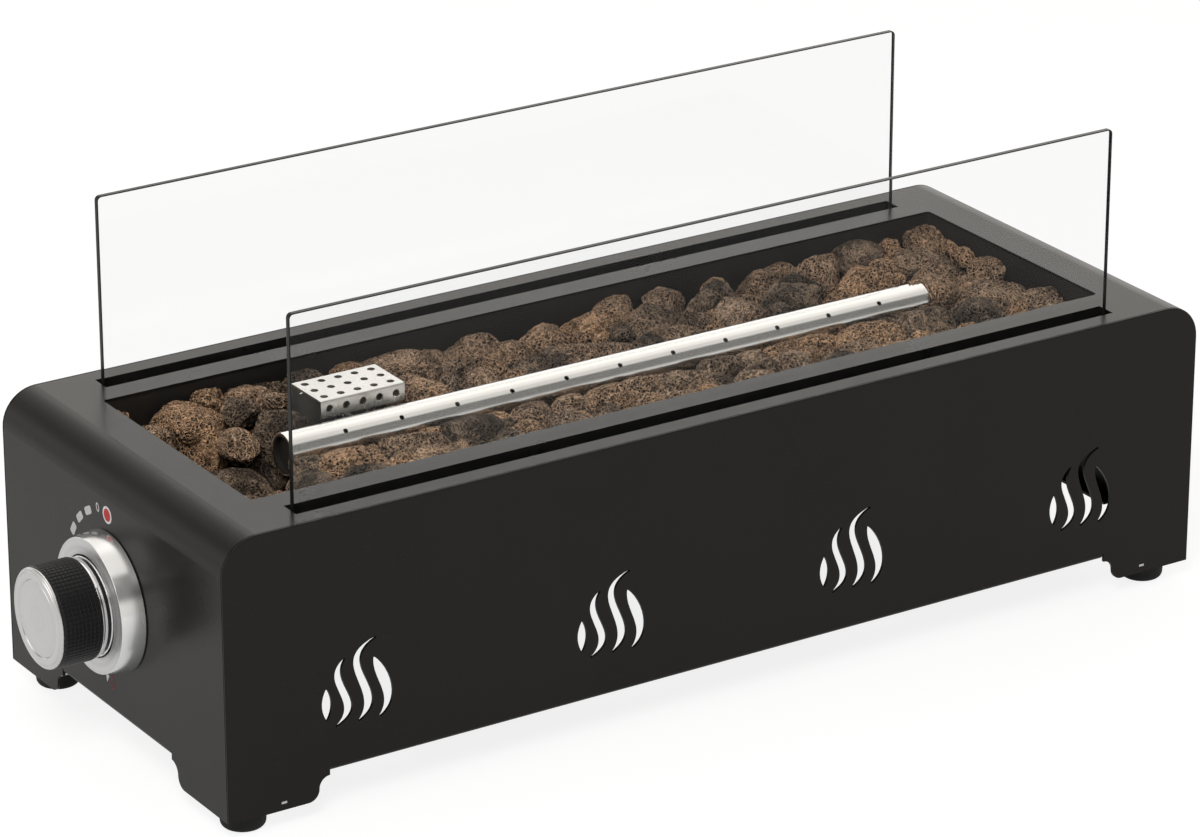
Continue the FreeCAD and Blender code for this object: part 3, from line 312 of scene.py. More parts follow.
def lavaStone():  # each stone has its own tone, and its holes, modelled and textured, get painted shade
    material, tree, shader = newMaterial("lavaStone", Roughness=lavaLook["roughness"],
                                         Specular_IOR_Level=lavaLook["specular"])
    effect = useGroup(tree, lavaPits)
    tone = addNode(tree, "Attribute", attribute_name="stoneTone").outputs["Fac"]
    modelled = addNode(tree, "Attribute", attribute_name="stonePit").outputs["Fac"]
    plain = blendColours(tree, remap(tree, tone, 0.0, 1.0, *lavaLook["brownSpan"]),
                         lavaLook["charcoal"], lavaLook["brown"])
    crust = blendColours(tree, remap(tree, tone, 0.0, 1.0, *lavaLook["warmSpan"]),
                         lavaLook["tan"], lavaLook["warmTan"])
    weathered = mathNode(tree, "ADD", effect.outputs["Patch"],
                         mathNode(tree, "MULTIPLY", tone, lavaLook["toneShare"]))
    base = blendColours(tree, remap(tree, weathered, 0.0, 1.0, *lavaLook["crustSpan"]), plain, crust)
    # painted shade: the deeper a point lies in a hole, modelled or textured, the nearer its colour comes to
    # the near-black hole colour
    deep = mathNode(tree, "MAXIMUM", effect.outputs["Pit"],
                    mathNode(tree, "MULTIPLY", modelled, lavaLook["modelledShare"]))
    shade = remap(tree, deep, *lavaLook["holeShade"], *lavaLook["holeSpan"])
    link(tree, blendColours(tree, shade, base, lavaLook["hole"]), shader.inputs["Base Color"])
    bumpFrom(tree, shader, effect.outputs["Height"], mm(lavaLook["depth"]))
    return material


# rim is the near-black colour of the painted shade on the panes' edges
glassLook = {"tint": (0.935, 0.938, 0.938), "rim": (0.006, 0.0065, 0.006),
             "shadowTint": (0.93, 0.95, 0.945), "ior": 1.16}


def clearGlass():  # shadow rays pass straight through
    material, tree, shader = newMaterial("clearGlass", Roughness=0.0, IOR=glassLook["ior"],
                                         Transmission_Weight=1.0)
    shader.inputs["Base Color"].default_value = (*glassLook["tint"], 1)
    rays = addNode(tree, "LightPath")
    through = addNode(tree, "BsdfTransparent")
    through.inputs["Color"].default_value = (*glassLook["shadowTint"], 1)
    mixed = mixShaders(tree, rays.outputs["Is Shadow Ray"], shader.outputs[0], through.outputs[0])
    link(tree, mixed, tree.nodes["Material Output"].inputs["Surface"])
    return material


# Coatings: colour, roughness where dull and where bright, grain per metre, bump depth, specular level
powderCoat = coated("powderCoatBlack", (0.0066, 0.0062, 0.0059), 0.33, 0.26, 850.0, 0.035, 0.2,
                    gleam=(1.0, 0.955, 0.92))
enamel = coated("panEnamelBlack", (0.012, 0.011, 0.0105), 0.5, 0.3, 500.0, 0.05, 0.4)
rubber = coated("footRubberBlack", (0.012, 0.012, 0.012), 0.82, 0.66, 1400.0, 0.06, 0.3)
blackPlastic = coated("gripPlasticBlack", (0.009, 0.009, 0.0095), 0.5, 0.38, 1600.0, 0.03, 0.25)
# painted shade: an opaque near-black coat on the glass panes' edges, standing in for how dark glass edges
# look
glassEdgeShade = coated("glassEdgePaintedShade", glassLook["rim"], 0.34, 0.2, 700.0, 0.02, 0.2)
sootedSteel = coated("sootedSteel", (0.02, 0.017, 0.015), 0.6, 0.45, 420.0, 0.08, 0.35, tint=0.4)
ceramic = coated("electrodeCeramic", (0.74, 0.72, 0.66), 0.28, 0.16, 300.0, 0.02, 0.5, tint=0.04)
whiteInk = coated("printWhite", (0.62, 0.62, 0.61), 0.6, 0.5, 1500.0, 0.01, 0.3, tint=0.05)
greyInk = coated("printGrey", (0.5, 0.5, 0.495), 0.6, 0.5, 1500.0, 0.01, 0.3, tint=0.05)
redInk = coated("printRed", (0.42, 0.02, 0.028), 0.6, 0.5, 1500.0, 0.01, 0.3, tint=0.08)
darkRedInk = coated("printDarkRed", (0.2, 0.015, 0.018), 0.6, 0.5, 1500.0, 0.01, 0.3, tint=0.08)

# Metals: colour, roughness where clean and where stained, lines or grain per metre, bump depth
polishedSteel = brushedMetal("polishedSteel", (0.74, 0.73, 0.71), 0.12, 0.2, (8.0, 2400.0, 2400.0), 0.004)
sheetSteel = brushedMetal("sheetSteel", (0.62, 0.61, 0.59), 0.24, 0.36, (12.0, 1500.0, 1500.0), 0.01)
pipeAluminium = brushedMetal("pipeAluminium", (0.78, 0.78, 0.79), 0.26, 0.36, (10.0, 1200.0, 1200.0), 0.01)
zincPlate = castMetal("zincPlate", (0.64, 0.65, 0.66), 0.3, 0.46, 700.0, 0.01)
castAluminium = castMetal("castAluminium", (0.58, 0.58, 0.59), 0.42, 0.56, 480.0, 0.12)
brass = castMetal("machinedBrass", (0.74, 0.5, 0.22), 0.22, 0.34, 1100.0, 0.008)
satinAluminium = turnedMetal("satinAluminium", (0.62, 0.62, 0.615), 0.2, 0.28, 2600.0, 0.006)
turnedFace = turnedMetal("turnedFaceAluminium", (0.66, 0.66, 0.655), 0.38, 0.5, 2600.0, 0.012)
polishedAluminium = turnedMetal("polishedAluminium", (0.82, 0.82, 0.82), 0.16, 0.24, 2600.0, 0.004)
chrome = turnedMetal("chromeTrim", (0.86, 0.86, 0.87), 0.06, 0.1, 1500.0, 0.001)

lava = lavaStone()
glass = clearGlass()

nodeFinish = [
    (powderCoat, "body_shell front_panel rear_panel front_glass_channel rear_glass_channel"),
    (enamel, "burner_pan"),
    (rubber, "rubber_feet front_glass_shoes rear_glass_shoes"),
    (zincPlate, "foot_plates foot_screws foot_nuts pan_nuts mixer_nut valve_bracket bezel_screws"),
    (polishedSteel, "burner_tube valve_stem push_plate return_spring"),
    (sootedSteel, "burner_plugs"),
    (sheetSteel, "burner_saddles mixer_tube igniter_guard sensor_holder spark_wire thermocouple"),
    (pipeAluminium, "gas_pipe"),
    (castAluminium, "gas_valve"),
    (brass, "orifice_elbow pipe_nuts inlet_fitting"),
    (blackPlastic, "knob_grip piezo_igniter"),
    (satinAluminium, "knob_bezel knob_cap"),
    (chrome, "knob_ring"),
    (ceramic, "igniter_electrode"),
    (lava, "front_rocks rear_rocks end_rocks"),
    (glass, "front_glass rear_glass")]
for material, names in nodeFinish:
    for name in names.split():
        mesh = nodes[name].data
        mesh.materials.clear()
        mesh.materials.append(material)
print("finishes set on", sum(len(names.split()) for material, names in nodeFinish), "nodes")


# Helpers for pieces

def finishPiece(name, bm, materials, body, replaced=(), sharpAngle=32.0):
    bmesh.ops.remove_doubles(bm, verts=bm.verts, dist=mm(mergeDistance))
    bmesh.ops.recalc_face_normals(bm, faces=bm.faces)
    for face in bm.faces:
        face.smooth = True
    mesh = bpy.data.meshes.new(name)
    bm.to_mesh(mesh)
    bm.free()
    mesh.set_sharp_from_angle(angle=math.radians(sharpAngle))
    for material in materials:
        mesh.materials.append(material)
    piece = bpy.data.objects.new(name, mesh)
    scene.collection.objects.link(piece)
    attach(piece, body)
    if replaced:
        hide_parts(*replaced)
    return piece


def bevelEdges(bm, edges, width, segments):
    bmesh.ops.bevel(bm, geom=edges, offset=mm(width), segments=segments, affect="EDGES",
                    profile=0.5, material=-1)


def softenEdges(bm, width, segments, minAngle=35.0):
    sharp = [edge for edge in bm.edges if edge.is_manifold
             and edge.calc_face_angle() > math.radians(minAngle)]
    bevelEdges(bm, sharp, width, segments)


# Glass panes

pane = {"cornerRadius": 2.5, "cornerSteps": 6, "chamfer": 0.45, "chamferSteps": 2, "across": 0.9,
        "clearFace": 0.99, "sharpAngle": 12.0}


def glassPane(name, node, body):
    low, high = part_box(node)
    bm = bmesh.new()
    bmesh.ops.create_cube(bm, size=1, matrix=Matrix.LocRotScale((low + high) / 2, None, high - low))
    corners = [edge for edge in bm.edges
               if abs((edge.verts[0].co - edge.verts[1].co).normalized().y) > pane["across"]]
    bevelEdges(bm, corners, pane["cornerRadius"], pane["cornerSteps"])
    bm.normal_update()
    rims = [edge for edge in bm.edges
            if any(abs(face.normal.y) > pane["across"] for face in edge.link_faces)]
    bevelEdges(bm, rims, pane["chamfer"], pane["chamferSteps"])
    bm.normal_update()
    for face in bm.faces:
        # the edges and chamfers take the near-black painted shade, the broad faces stay clear glass
        face.material_index = 0 if abs(face.normal.y) > pane["clearFace"] else 1
    return finishPiece(name, bm, [glass, glassEdgeShade], body, [node], pane["sharpAngle"])


glassPane("frontGlassPane", "front_glass", "front_glass")
glassPane("rearGlassPane", "rear_glass", "rear_glass")
print("glass panes made")


# Lava stones

stones = {"level": 5, "perPiece": 10, "merge": 0.01, "grow": 3.2, "smooth": 0.5, "sharpAngle": 60.0,
          "finerAbove": -4.0, "squeeze": 0.6,
          "softAbove": 8.0, "lowTop": -7.0, "highTop": 15.0}  # heights over the burner tube's middle
lowCorner = {"x": (-212.0, -172.0), "y": (-46.0, 20.0)}  # where the stones leave the burner's end open
highCorner = {"x": (-240.0, -140.0), "y": (34.0, 80.0)}  # where they are heaped up to the rim
# Gaps that the stones keep from the outside of the pan, the burner tube and the igniter guard
clearance = {"panWall": 11.45, "panFloor": 1.4, "tube": 1.2, "tubeEnds": 2.0, "guard": 1.0}


def spans(node):  # from low to high along each axis, in whole hundredths of a millimetre
    return [[round(end * perMetre, 2) for end in ends] for ends in zip(*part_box(node))]


panX, panY, panZ = spans("burner_pan")
tubeX, tubeY, tubeZ = spans("burner_tube")
guardLow, guardHigh = (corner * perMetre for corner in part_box("igniter_guard"))
bed = {"x": (panX[0] + clearance["panWall"], panX[1] - clearance["panWall"]),
       "y": (panY[0] + clearance["panWall"], panY[1] - clearance["panWall"]),
       "floor": panZ[0] + clearance["panFloor"],
       "tubeX": (tubeX[0] - clearance["tubeEnds"], tubeX[1] + clearance["tubeEnds"]),
       "tubeHeight": sum(tubeZ) / 2, "tubeClear": (tubeZ[1] - tubeZ[0]) / 2 + clearance["tube"],
       "bankRise": 1.0, "bankSlope": 0.48, "bankSqueeze": 0.3, "wallLean": 7.0}
rockNodes = {"frontLavaStones": "front_rocks", "rearLavaStones": "rear_rocks", "endLavaStones": "end_rocks"}


def within(corner, x, y):
    return corner["x"][0] < x < corner["x"][1] and corner["y"][0] < y < corner["y"][1]


def looseGroups(bm):
    waiting = set(bm.verts)
    while waiting:
        group, border = set(), [min(waiting, key=lambda vert: vert.index)]
        while border:
            vert = border.pop()
            if vert in group:
                continue
            group.add(vert)
            border.extend(edge.other_vert(vert) for edge in vert.link_edges)
        waiting -= group
        yield sorted(group, key=lambda vert: vert.index)


def clearOf(point):  # keeps a stone inside the pan and off the burner and its guard
    x, y, z = (part * perMetre for part in point)
    soft = bed["tubeHeight"] + stones["softAbove"]
    if z > soft:
        z = soft + (z - soft) * stones["squeeze"]
    bank = bed["tubeHeight"] + bed["bankRise"] + (-y - bed["tubeClear"]) * bed["bankSlope"]
    besideTube = bed["tubeX"][0] < x < bed["tubeX"][1]
    if besideTube and y < 0 and z > bank:
        z = bank + (z - bank) * bed["bankSqueeze"]
    x = min(max(x, bed["x"][0]), bed["x"][1])
    y = min(max(y, bed["y"][0]), bed["y"][1])
    z = max(z, bed["floor"])
    rise = z - bed["tubeHeight"]
    aside = math.hypot(y, rise)
    if besideTube and aside < bed["tubeClear"]:
        y, z = y / aside * bed["tubeClear"], bed["tubeHeight"] + rise / aside * bed["tubeClear"]
    near, far = guardLow.y - clearance["guard"] - y, y - guardHigh.y - clearance["guard"]
    left, right = guardLow.x - clearance["guard"] - x, x - guardHigh.x - clearance["guard"]
    inside = max(near, far, left, right)
    if inside < 0 and inside == near:
        y += near
    elif inside < 0 and inside == far:
        y -= far
    elif inside < 0 and inside == left:
        x += left
    elif inside < 0:
        x -= right
    return Vector((mm(x), mm(y), mm(z)))


surface = {"lumpSize": 15.0, "lump": 0.6, "lumpNoise": (1.0, 2.0, 3), "cragSize": 6.0, "crag": 1.0,
           "cragMiddle": 0.4, "cellSize": 3.4, "cell": 1.1, "bendRatio": 1.5, "bend": 1.6, "bendSeed": 7,
           "cellWall": 0.08, "cellFade": 0.42, "spread": 50.0}
noise.seed_set(surface["bendSeed"])  # without it noise_vector would differ from run to run


def roughen(point, seed):  # how far a point moves out, and how deep in a gas hole it lies
    lump = noise.fractal(point / mm(surface["lumpSize"]) + seed, *surface["lumpNoise"]) * surface["lump"]
    crag = abs(noise.noise(point / mm(surface["cragSize"]) + seed))
    bend = noise.noise_vector(point / mm(surface["cellSize"] * surface["bendRatio"]) + seed)
    bent = point + bend * mm(surface["bend"])
    first, second = noise.voronoi(bent / mm(surface["cellSize"]) + seed)[0][:2]
    hole = min(1.0, max(0.0, (second - first - surface["cellWall"]) / surface["cellFade"]))
    rise = lump - (surface["cragMiddle"] - crag) * surface["crag"] - hole * surface["cell"]
    return mm(rise), hole


chips = {"count": 8, "depth": (0.58, 0.88), "lowest": -0.8, "cut": 0.94}


def chipStone(verts, middle, luck):  # flat breaks, as where a larger stone was crushed
    for chip in range(chips["count"]):
        way = Vector((luck.uniform(-1, 1), luck.uniform(-1, 1), luck.uniform(chips["lowest"], 1)))
        way.normalize()
        reach = max((vert.co - middle).dot(way) for vert in verts) * luck.uniform(*chips["depth"])
        for vert in verts:
            over = (vert.co - middle).dot(way) - reach
            if over > 0:
                vert.co -= way * over * chips["cut"]


def stoneForms(node):  # a middle for each of the node's stones, and how far it reaches one way
    source = bmesh.new()
    source.from_mesh(nodes[node].data)
    bmesh.ops.remove_doubles(source, verts=source.verts, dist=mm(stones["merge"]))
    source.verts.index_update()
    skin = BVHTree.FromBMesh(source)
    forms = []
    for group in looseGroups(source):
        middle = sum((vert.co for vert in group), Vector()) / len(group)

        def reach(way, middle=middle):
            hit = skin.ray_cast(middle, way)[0] or middle
            return hit + way * mm(stones["grow"])
        forms.append((middle, reach))
    source.free()
    return forms


def lavaStones(name, forms, level, replaced=()):
    bm = bmesh.new()
    tones, pits, numbers = [bm.verts.layers.float.new(layer) for layer in
                            ("stoneTone", "stonePit", "stoneNumber")]
    looks = []  # for each stone: the height above which it is finer, its noise seed and its tone
    for number, (middle, reach) in enumerate(forms):
        luck = random.Random(f"{name} {number}")
        ball = bmesh.ops.create_icosphere(bm, subdivisions=level, radius=1)["verts"]
        for vert in ball:
            vert.co = reach(vert.co.normalized())
            vert[numbers] = number
        full = max(vert.co.z for vert in ball)
        chipStone(ball, middle, luck)
        bmesh.ops.smooth_vert(bm, verts=ball, factor=stones["smooth"],
                              use_axis_x=True, use_axis_y=True, use_axis_z=True)
        base, chipped = mm(bed["floor"]), max(vert.co.z for vert in ball)
        x, y = middle.x * perMetre, middle.y * perMetre
        if within(lowCorner, x, y):
            full = mm(bed["tubeHeight"] + stones["lowTop"])
        if within(highCorner, x, y):
            full = mm(bed["tubeHeight"] + stones["highTop"])
        for vert in ball:
            vert.co.z = base + (vert.co.z - base) * (full - base) / (chipped - base)
        seed = Vector([luck.uniform(0, surface["spread"]) for axis in range(3)])
        looks.append((middle.z + mm(stones["finerAbove"]), seed, luck.uniform(0, 1)))
    seen = [edge for edge in bm.edges
            if min(vert.co.z for vert in edge.verts) > looks[round(edge.verts[0][numbers])][0]]
    bmesh.ops.subdivide_edges(bm, edges=seen, cuts=1, use_grid_fill=True)
    bmesh.ops.triangulate(bm, faces=[face for face in bm.faces if len(face.verts) > 3])
    bm.normal_update()
    moved = []
    for vert in bm.verts:
        seed, tone = looks[round(vert[numbers])][1:]
        move, hole = roughen(vert.co, seed)
        moved.append((vert, clearOf(vert.co + vert.normal * move)))
        # the hole depth is kept for the stones' painted shade
        vert[tones], vert[pits] = tone, hole
    for vert, spot in moved:
        vert.co = spot
    bm.verts.layers.float.remove(numbers)
    return finishPiece(name, bm, [lava], "housing", replaced, stones["sharpAngle"])


def freeRoom(x, y, z):  # from the burner, its guard and the pan's walls
    free = min(x - bed["x"][0], bed["x"][1] - x, y - bed["y"][0], bed["y"][1] - y) + bed["wallLean"]
    if bed["tubeX"][0] < x < bed["tubeX"][1]:
        free = min(free, math.hypot(y, z - bed["tubeHeight"]) - bed["tubeClear"])
    free = min(free, max(guardLow.x - x, x - guardHigh.x, guardLow.y - y, y - guardHigh.y))
    return 0 if within(lowCorner, x, y) else free


fillers = {"level": 4, "perPiece": 40, "count": 110, "grid": 4.0, "overTube": 2.0, "drop": 5.0,
           "size": (5.0, 16.0), "spread": 1.15, "extra": 2.4, "stretch": (0.85, 1.2),
           "flatness": (0.65, 0.85)}


def gapRooms():  # the room round each point of a grid between the large stones
    large = bmesh.new()
    for node in rockNodes.values():
        large.from_mesh(nodes[node].data)
    taken = BVHTree.FromBMesh(large)
    large.free()
    rooms, step = {}, fillers["grid"]
    for i in range(int((bed["x"][1] - bed["x"][0]) / step)):
        for j in range(int((bed["y"][1] - bed["y"][0]) / step)):
            spot = Vector((mm(bed["x"][0] + step * (i + 0.5)), mm(bed["y"][0] + step * (j + 0.5)),
                           mm(bed["tubeHeight"] + fillers["overTube"]))).freeze()
            near, normal, _, distance = taken.find_nearest(spot)
            free = min(distance * perMetre, freeRoom(*(spot * perMetre)))
            if free > 0 and (spot - near).dot(normal) > 0:
                rooms[spot] = free
    return rooms


def fillerForms():  # small stones for the widest gaps between the large ones
    rooms = gapRooms()
    luck, forms = random.Random("fillers"), []
    while rooms and len(forms) < fillers["count"]:
        middle = max(rooms, key=rooms.get)
        size = min(rooms[middle] * fillers["spread"] + fillers["extra"], fillers["size"][1])
        if size < fillers["size"][0]:
            break
        rooms = {spot: min(free, (spot - middle).length * perMetre - size) for spot, free in rooms.items()
                 if (spot - middle).length * perMetre > size}
        shape = Vector((luck.uniform(*fillers["stretch"]), luck.uniform(*fillers["stretch"]),
                        luck.uniform(*fillers["flatness"])))
        shape *= mm(size)
        low = middle + Vector((0, 0, -mm(luck.uniform(0, fillers["drop"]))))
        forms.append((low, lambda way, low=low, shape=shape: low + way * shape))
    return forms


def stonePieces(name, forms, settings, replaced=()):
    count = settings["perPiece"]
    for start in range(0, len(forms), count):
        lavaStones(f"{name}{start // count + 1}", forms[start:start + count], settings["level"], replaced)


for name, node in rockNodes.items():
    stonePieces(name, stoneForms(node), stones, [node])
stonePieces("smallLavaStones", fillerForms(), fillers)
print("lava stones made")


# Knob and bezel, turned round the knob's axis. Places are (out from the end wall, radius).

def turnedPiece(profile, steps):
    bm = bmesh.new()
    verts = [bm.verts.new((wallX - mm(out), 0, knobAxis.z + mm(radius))) for out, radius in profile]
    edges = [bm.edges.new((verts[i - 1], verts[i])) for i in range(len(verts))]
    bmesh.ops.spin(bm, geom=verts + edges, cent=(0, 0, knobAxis.z), axis=(1, 0, 0), dvec=(0, 0, 0),
                   angle=math.tau, steps=steps, use_merge=True)
    bmesh.ops.remove_doubles(bm, verts=bm.verts, dist=mm(mergeDistance))
    bmesh.ops.recalc_face_normals(bm, faces=bm.faces)
    return bm


def fromAxis(point):
    return math.hypot(point.y, point.z - knobAxis.z)


bezel = {"base": 36.0, "front": 34.3, "depth": 12.7, "bore": 25.9, "floor": 2.5, "hole": 10.0,
         "chamfer": (0.6, 0.3), "edge": 0.28, "edgeSteps": 3, "steps": 120, "flat": 0.95}


def knobBezel():  # its flat faces are turned, its sides polished
    out, inward = bezel["chamfer"]
    bm = turnedPiece([(0, bezel["hole"]), (0, bezel["base"] - inward), (out, bezel["base"]),
                      (bezel["depth"], bezel["front"]), (bezel["depth"], bezel["bore"]),
                      (bezel["floor"], bezel["bore"]), (bezel["floor"], bezel["hole"])], bezel["steps"])
    softenEdges(bm, bezel["edge"], bezel["edgeSteps"])
    bm.normal_update()
    for face in bm.faces:
        face.material_index = 1 if abs(face.normal.x) > bezel["flat"] else 0
    return finishPiece("turnedBezel", bm, [polishedAluminium, turnedFace], "housing",
                       ["knob_bezel"])


ring = {"rear": 10.0, "front": 18.0, "outer": 25.2, "inner": 22.8, "groove": (13.5, 15.3), "bottom": 23.6,
        "edge": 0.4, "edgeSteps": 4, "steps": 96, "dark": (23.1, 23.8)}


def knobRing():  # two bright bands with a dark groove between them
    bm = turnedPiece([(ring["rear"], ring["inner"]), (ring["rear"], ring["outer"]),
                      (ring["groove"][0], ring["outer"]), (ring["groove"][0], ring["bottom"]),
                      (ring["groove"][1], ring["bottom"]), (ring["groove"][1], ring["outer"]),
                      (ring["front"], ring["outer"]), (ring["front"], ring["inner"])], ring["steps"])
    softenEdges(bm, ring["edge"], ring["edgeSteps"])
    low, high = ring["dark"]
    for face in bm.faces:
        face.material_index = 1 if mm(low) < fromAxis(face.calc_center_median()) < mm(high) else 0
    return finishPiece("chromeRing", bm, [chrome, blackPlastic], "knob", ["knob_ring"])


grip = {"rear": 18.0, "front": 39.2, "radius": 25.62, "edge": 0.1, "inner": 22.7, "neck": 20.1,
        "neckRear": 10.5, "web": 36.2, "hub": 7.5, "hubRear": 11.6, "bore": 4.2, "rows": 9, "steps": 72,
        "knurlStart": 18.8, "knurlEnd": 38.4, "knurlDepth": 0.4, "blockGap": 0.36, "blockRise": 0.3}


def knurledGrip():
    pitch = (grip["knurlEnd"] - grip["knurlStart"]) / grip["rows"]
    rows = [(grip["knurlStart"] + pitch * i, grip["radius"]) for i in range(grip["rows"] + 1)]
    front, side = grip["front"] - grip["edge"], grip["radius"] - grip["edge"]
    bm = turnedPiece([(grip["neckRear"], grip["neck"]), (grip["neckRear"], grip["inner"]),
                      (grip["rear"], grip["inner"]), (grip["rear"], side), *rows, (front, side),
                      (front, grip["bore"]), (grip["hubRear"], grip["bore"]),
                      (grip["hubRear"], grip["hub"]), (grip["web"], grip["hub"]),
                      (grip["web"], grip["neck"])], grip["steps"])
    start, end = wallX - mm(grip["knurlStart"]), wallX - mm(grip["knurlEnd"])
    blocks = []
    for face in bm.faces:
        middle = face.calc_center_median()
        if end < middle.x < start and fromAxis(middle) > mm(grip["radius"] - grip["knurlDepth"]):
            blocks.append(face)
    bmesh.ops.inset_individual(bm, faces=blocks, thickness=mm(grip["blockGap"]),
                               depth=mm(grip["blockRise"]), use_even_offset=True)
    return finishPiece("knurledGrip", bm, [blackPlastic], "knob", ["knob_grip"])


cap = {"back": 39.2, "front": 41.0, "radius": 25.4, "groove": 19.0, "grooveWidth": 1.0, "grooveDepth": 0.7,
       "inset": 0.2, "spigot": 19.0, "spigotWall": 1.5, "spigotDepth": 1.2,
       "rim": ((1.0, 0.0), (0.45, 0.5), (0.1, 1.2), (0.5, 1.8), (0.0, 2.3)),  # behind the front, inwards
       "edge": 0.12, "edgeSteps": 2, "steps": 120}


def spunCap():
    middle = cap["front"] - cap["inset"]
    grooveEnd = cap["groove"] + cap["grooveWidth"]
    spigotBack, spigotBore = cap["back"] - cap["spigotDepth"], cap["spigot"] - cap["spigotWall"]
    rim = [(cap["front"] - behind, cap["radius"] - inwards) for behind, inwards in cap["rim"]]
    bm = turnedPiece([(cap["back"], 0), (cap["back"], spigotBore), (spigotBack, spigotBore),
                      (spigotBack, cap["spigot"]), (cap["back"], cap["spigot"]),
                      (cap["back"], cap["radius"]), *rim, (cap["front"], grooveEnd),
                      (cap["front"] - cap["grooveDepth"], (grooveEnd + cap["groove"]) / 2),
                      (middle, cap["groove"]), (middle, 0)], cap["steps"])
    softenEdges(bm, cap["edge"], cap["edgeSteps"])
    return finishPiece("spunCap", bm, [satinAluminium], "knob", ["knob_cap"])


knobBezel()
knobRing()
knurledGrip()
spunCap()
print("knob made")


# Return spring, copied from its solid at one length, though the real one shortens as the knob is pressed

spring = {"joint": "knob_press", "travel": 4.0}


def pressedSpring():
    low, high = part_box("return_spring")
    bm = bmesh.new()
    bm.from_mesh(nodes["return_spring"].data)
    piece = finishPiece("coiledSpring", bm, [polishedSteel], "housing", ["return_spring"])
    length = high.x - low.x
    (length - mm(spring["travel"])) / length
    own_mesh(piece)


pressedSpring()
print("spring made")


# Printed marks round the bezel, placed by an angle from straight up towards the rear and a reach

inks = [whiteInk, greyInk, redInk, darkRedInk]
dial = {"thickness": 0.06, "discSteps": 40, "pinchPower": 0.8, "rounding": 1.2, "roundingSteps": 5}
discs = {"dotBorder": {"angle": 2.4, "reach": 44.5, "size": (4.5, 4.5), "ink": whiteInk},
         "dot": {"angle": 2.4, "reach": 44.5, "size": (3.3, 3.3), "ink": redInk, "lift": 0.05},
         "zero": {"angle": 14.5, "reach": 46.6, "size": (1.5, 2.3), "ink": whiteInk, "stroke": 0.55},
         "wedge": {"angle": 170.0, "reach": 44.8, "size": (2.1, 3.0), "ink": whiteInk, "steps": 3},
         "flame": {"angle": 177.0, "reach": 45.0, "size": (2.2, 4.2), "ink": darkRedInk, "stroke": 0.55,
                   "pinch": 0.75}}
segments = {"angles": (28.9, 43.3, 57.7), "reach": 45.4, "size": (7.2, 4.2), "ink": greyInk}


def markPlace(angle, reach):
    turn = math.radians(angle)
    spot = Vector((wallX, mm(reach) * math.sin(turn), knobAxis.z + mm(reach) * math.cos(turn)))
    along = Vector((0, math.cos(turn), -math.sin(turn)))
    out = Vector((0, math.sin(turn), math.cos(turn)))
    place = Matrix((along, out, along.cross(out))).transposed().to_4x4()
    return Matrix.Translation(spot) @ place


def raiseFaces(bm, faces, height, ink):
    for face in faces:
        face.material_index = inks.index(ink)
    raised = bmesh.ops.extrude_face_region(bm, geom=faces)["geom"]
    bmesh.ops.translate(bm, verts=[item for item in raised if isinstance(item, bmesh.types.BMVert)],
                        vec=(-mm(height), 0, 0))


def printedDisc(bm, disc):  # with a stroke it is an outline, and a pinch draws its lower end in
    place = markPlace(disc["angle"], disc["reach"])
    circle = bmesh.ops.create_circle(bm, cap_ends=True, radius=1,
                                     segments=disc.get("steps", dial["discSteps"]))["verts"]
    for vert in circle:
        x, y = vert.co.x * mm(disc["size"][0]), vert.co.y * mm(disc["size"][1])
        narrow = 1 - disc.get("pinch", 0) * max(0.0, -vert.co.y) ** dial["pinchPower"]
        vert.co = place @ Vector((x * narrow, y, 0))
    faces = list({face for vert in circle for face in vert.link_faces})
    if "stroke" in disc:
        bm.normal_update()
        bmesh.ops.inset_region(bm, faces=faces, thickness=mm(disc["stroke"]), use_boundary=True,
                               use_even_offset=True)
        rim = {face for vert in circle for face in vert.link_faces}
        bmesh.ops.delete(bm, geom=[face for face in faces if face.is_valid and face not in rim],
                         context="FACES")
        faces = list(rim)
    raiseFaces(bm, faces, dial["thickness"] + disc.get("lift", 0), disc["ink"])


def printedBlock(bm, angle):
    place = markPlace(angle, segments["reach"])
    corners = bmesh.ops.create_grid(bm, x_segments=1, y_segments=1, size=0.5)["verts"]
    for vert in corners:
        vert.co = Vector((vert.co.x * mm(segments["size"][0]), vert.co.y * mm(segments["size"][1]), 0))
    rounded = bmesh.ops.bevel(bm, geom=corners, offset=mm(dial["rounding"]),
                              segments=dial["roundingSteps"], affect="VERTICES",
                              profile=0.5, material=-1)["verts"]
    for vert in rounded:
        vert.co = place @ vert.co
    faces = list({face for vert in rounded for face in vert.link_faces})
    raiseFaces(bm, faces, dial["thickness"], segments["ink"])


def dialMarks():
    bm = bmesh.new()
    for disc in discs.values():
        printedDisc(bm, disc)
    for angle in segments["angles"]:
        printedBlock(bm, angle)
    return finishPiece("dialMarks", bm, inks, "housing")


dialMarks()
print("dial marks made")


# Studio

ground = {"radius": 40.0, "steps": 64, "plain": 0.8, "kept": (0.46, 0.22), "glow": (0.42, 0.85)}


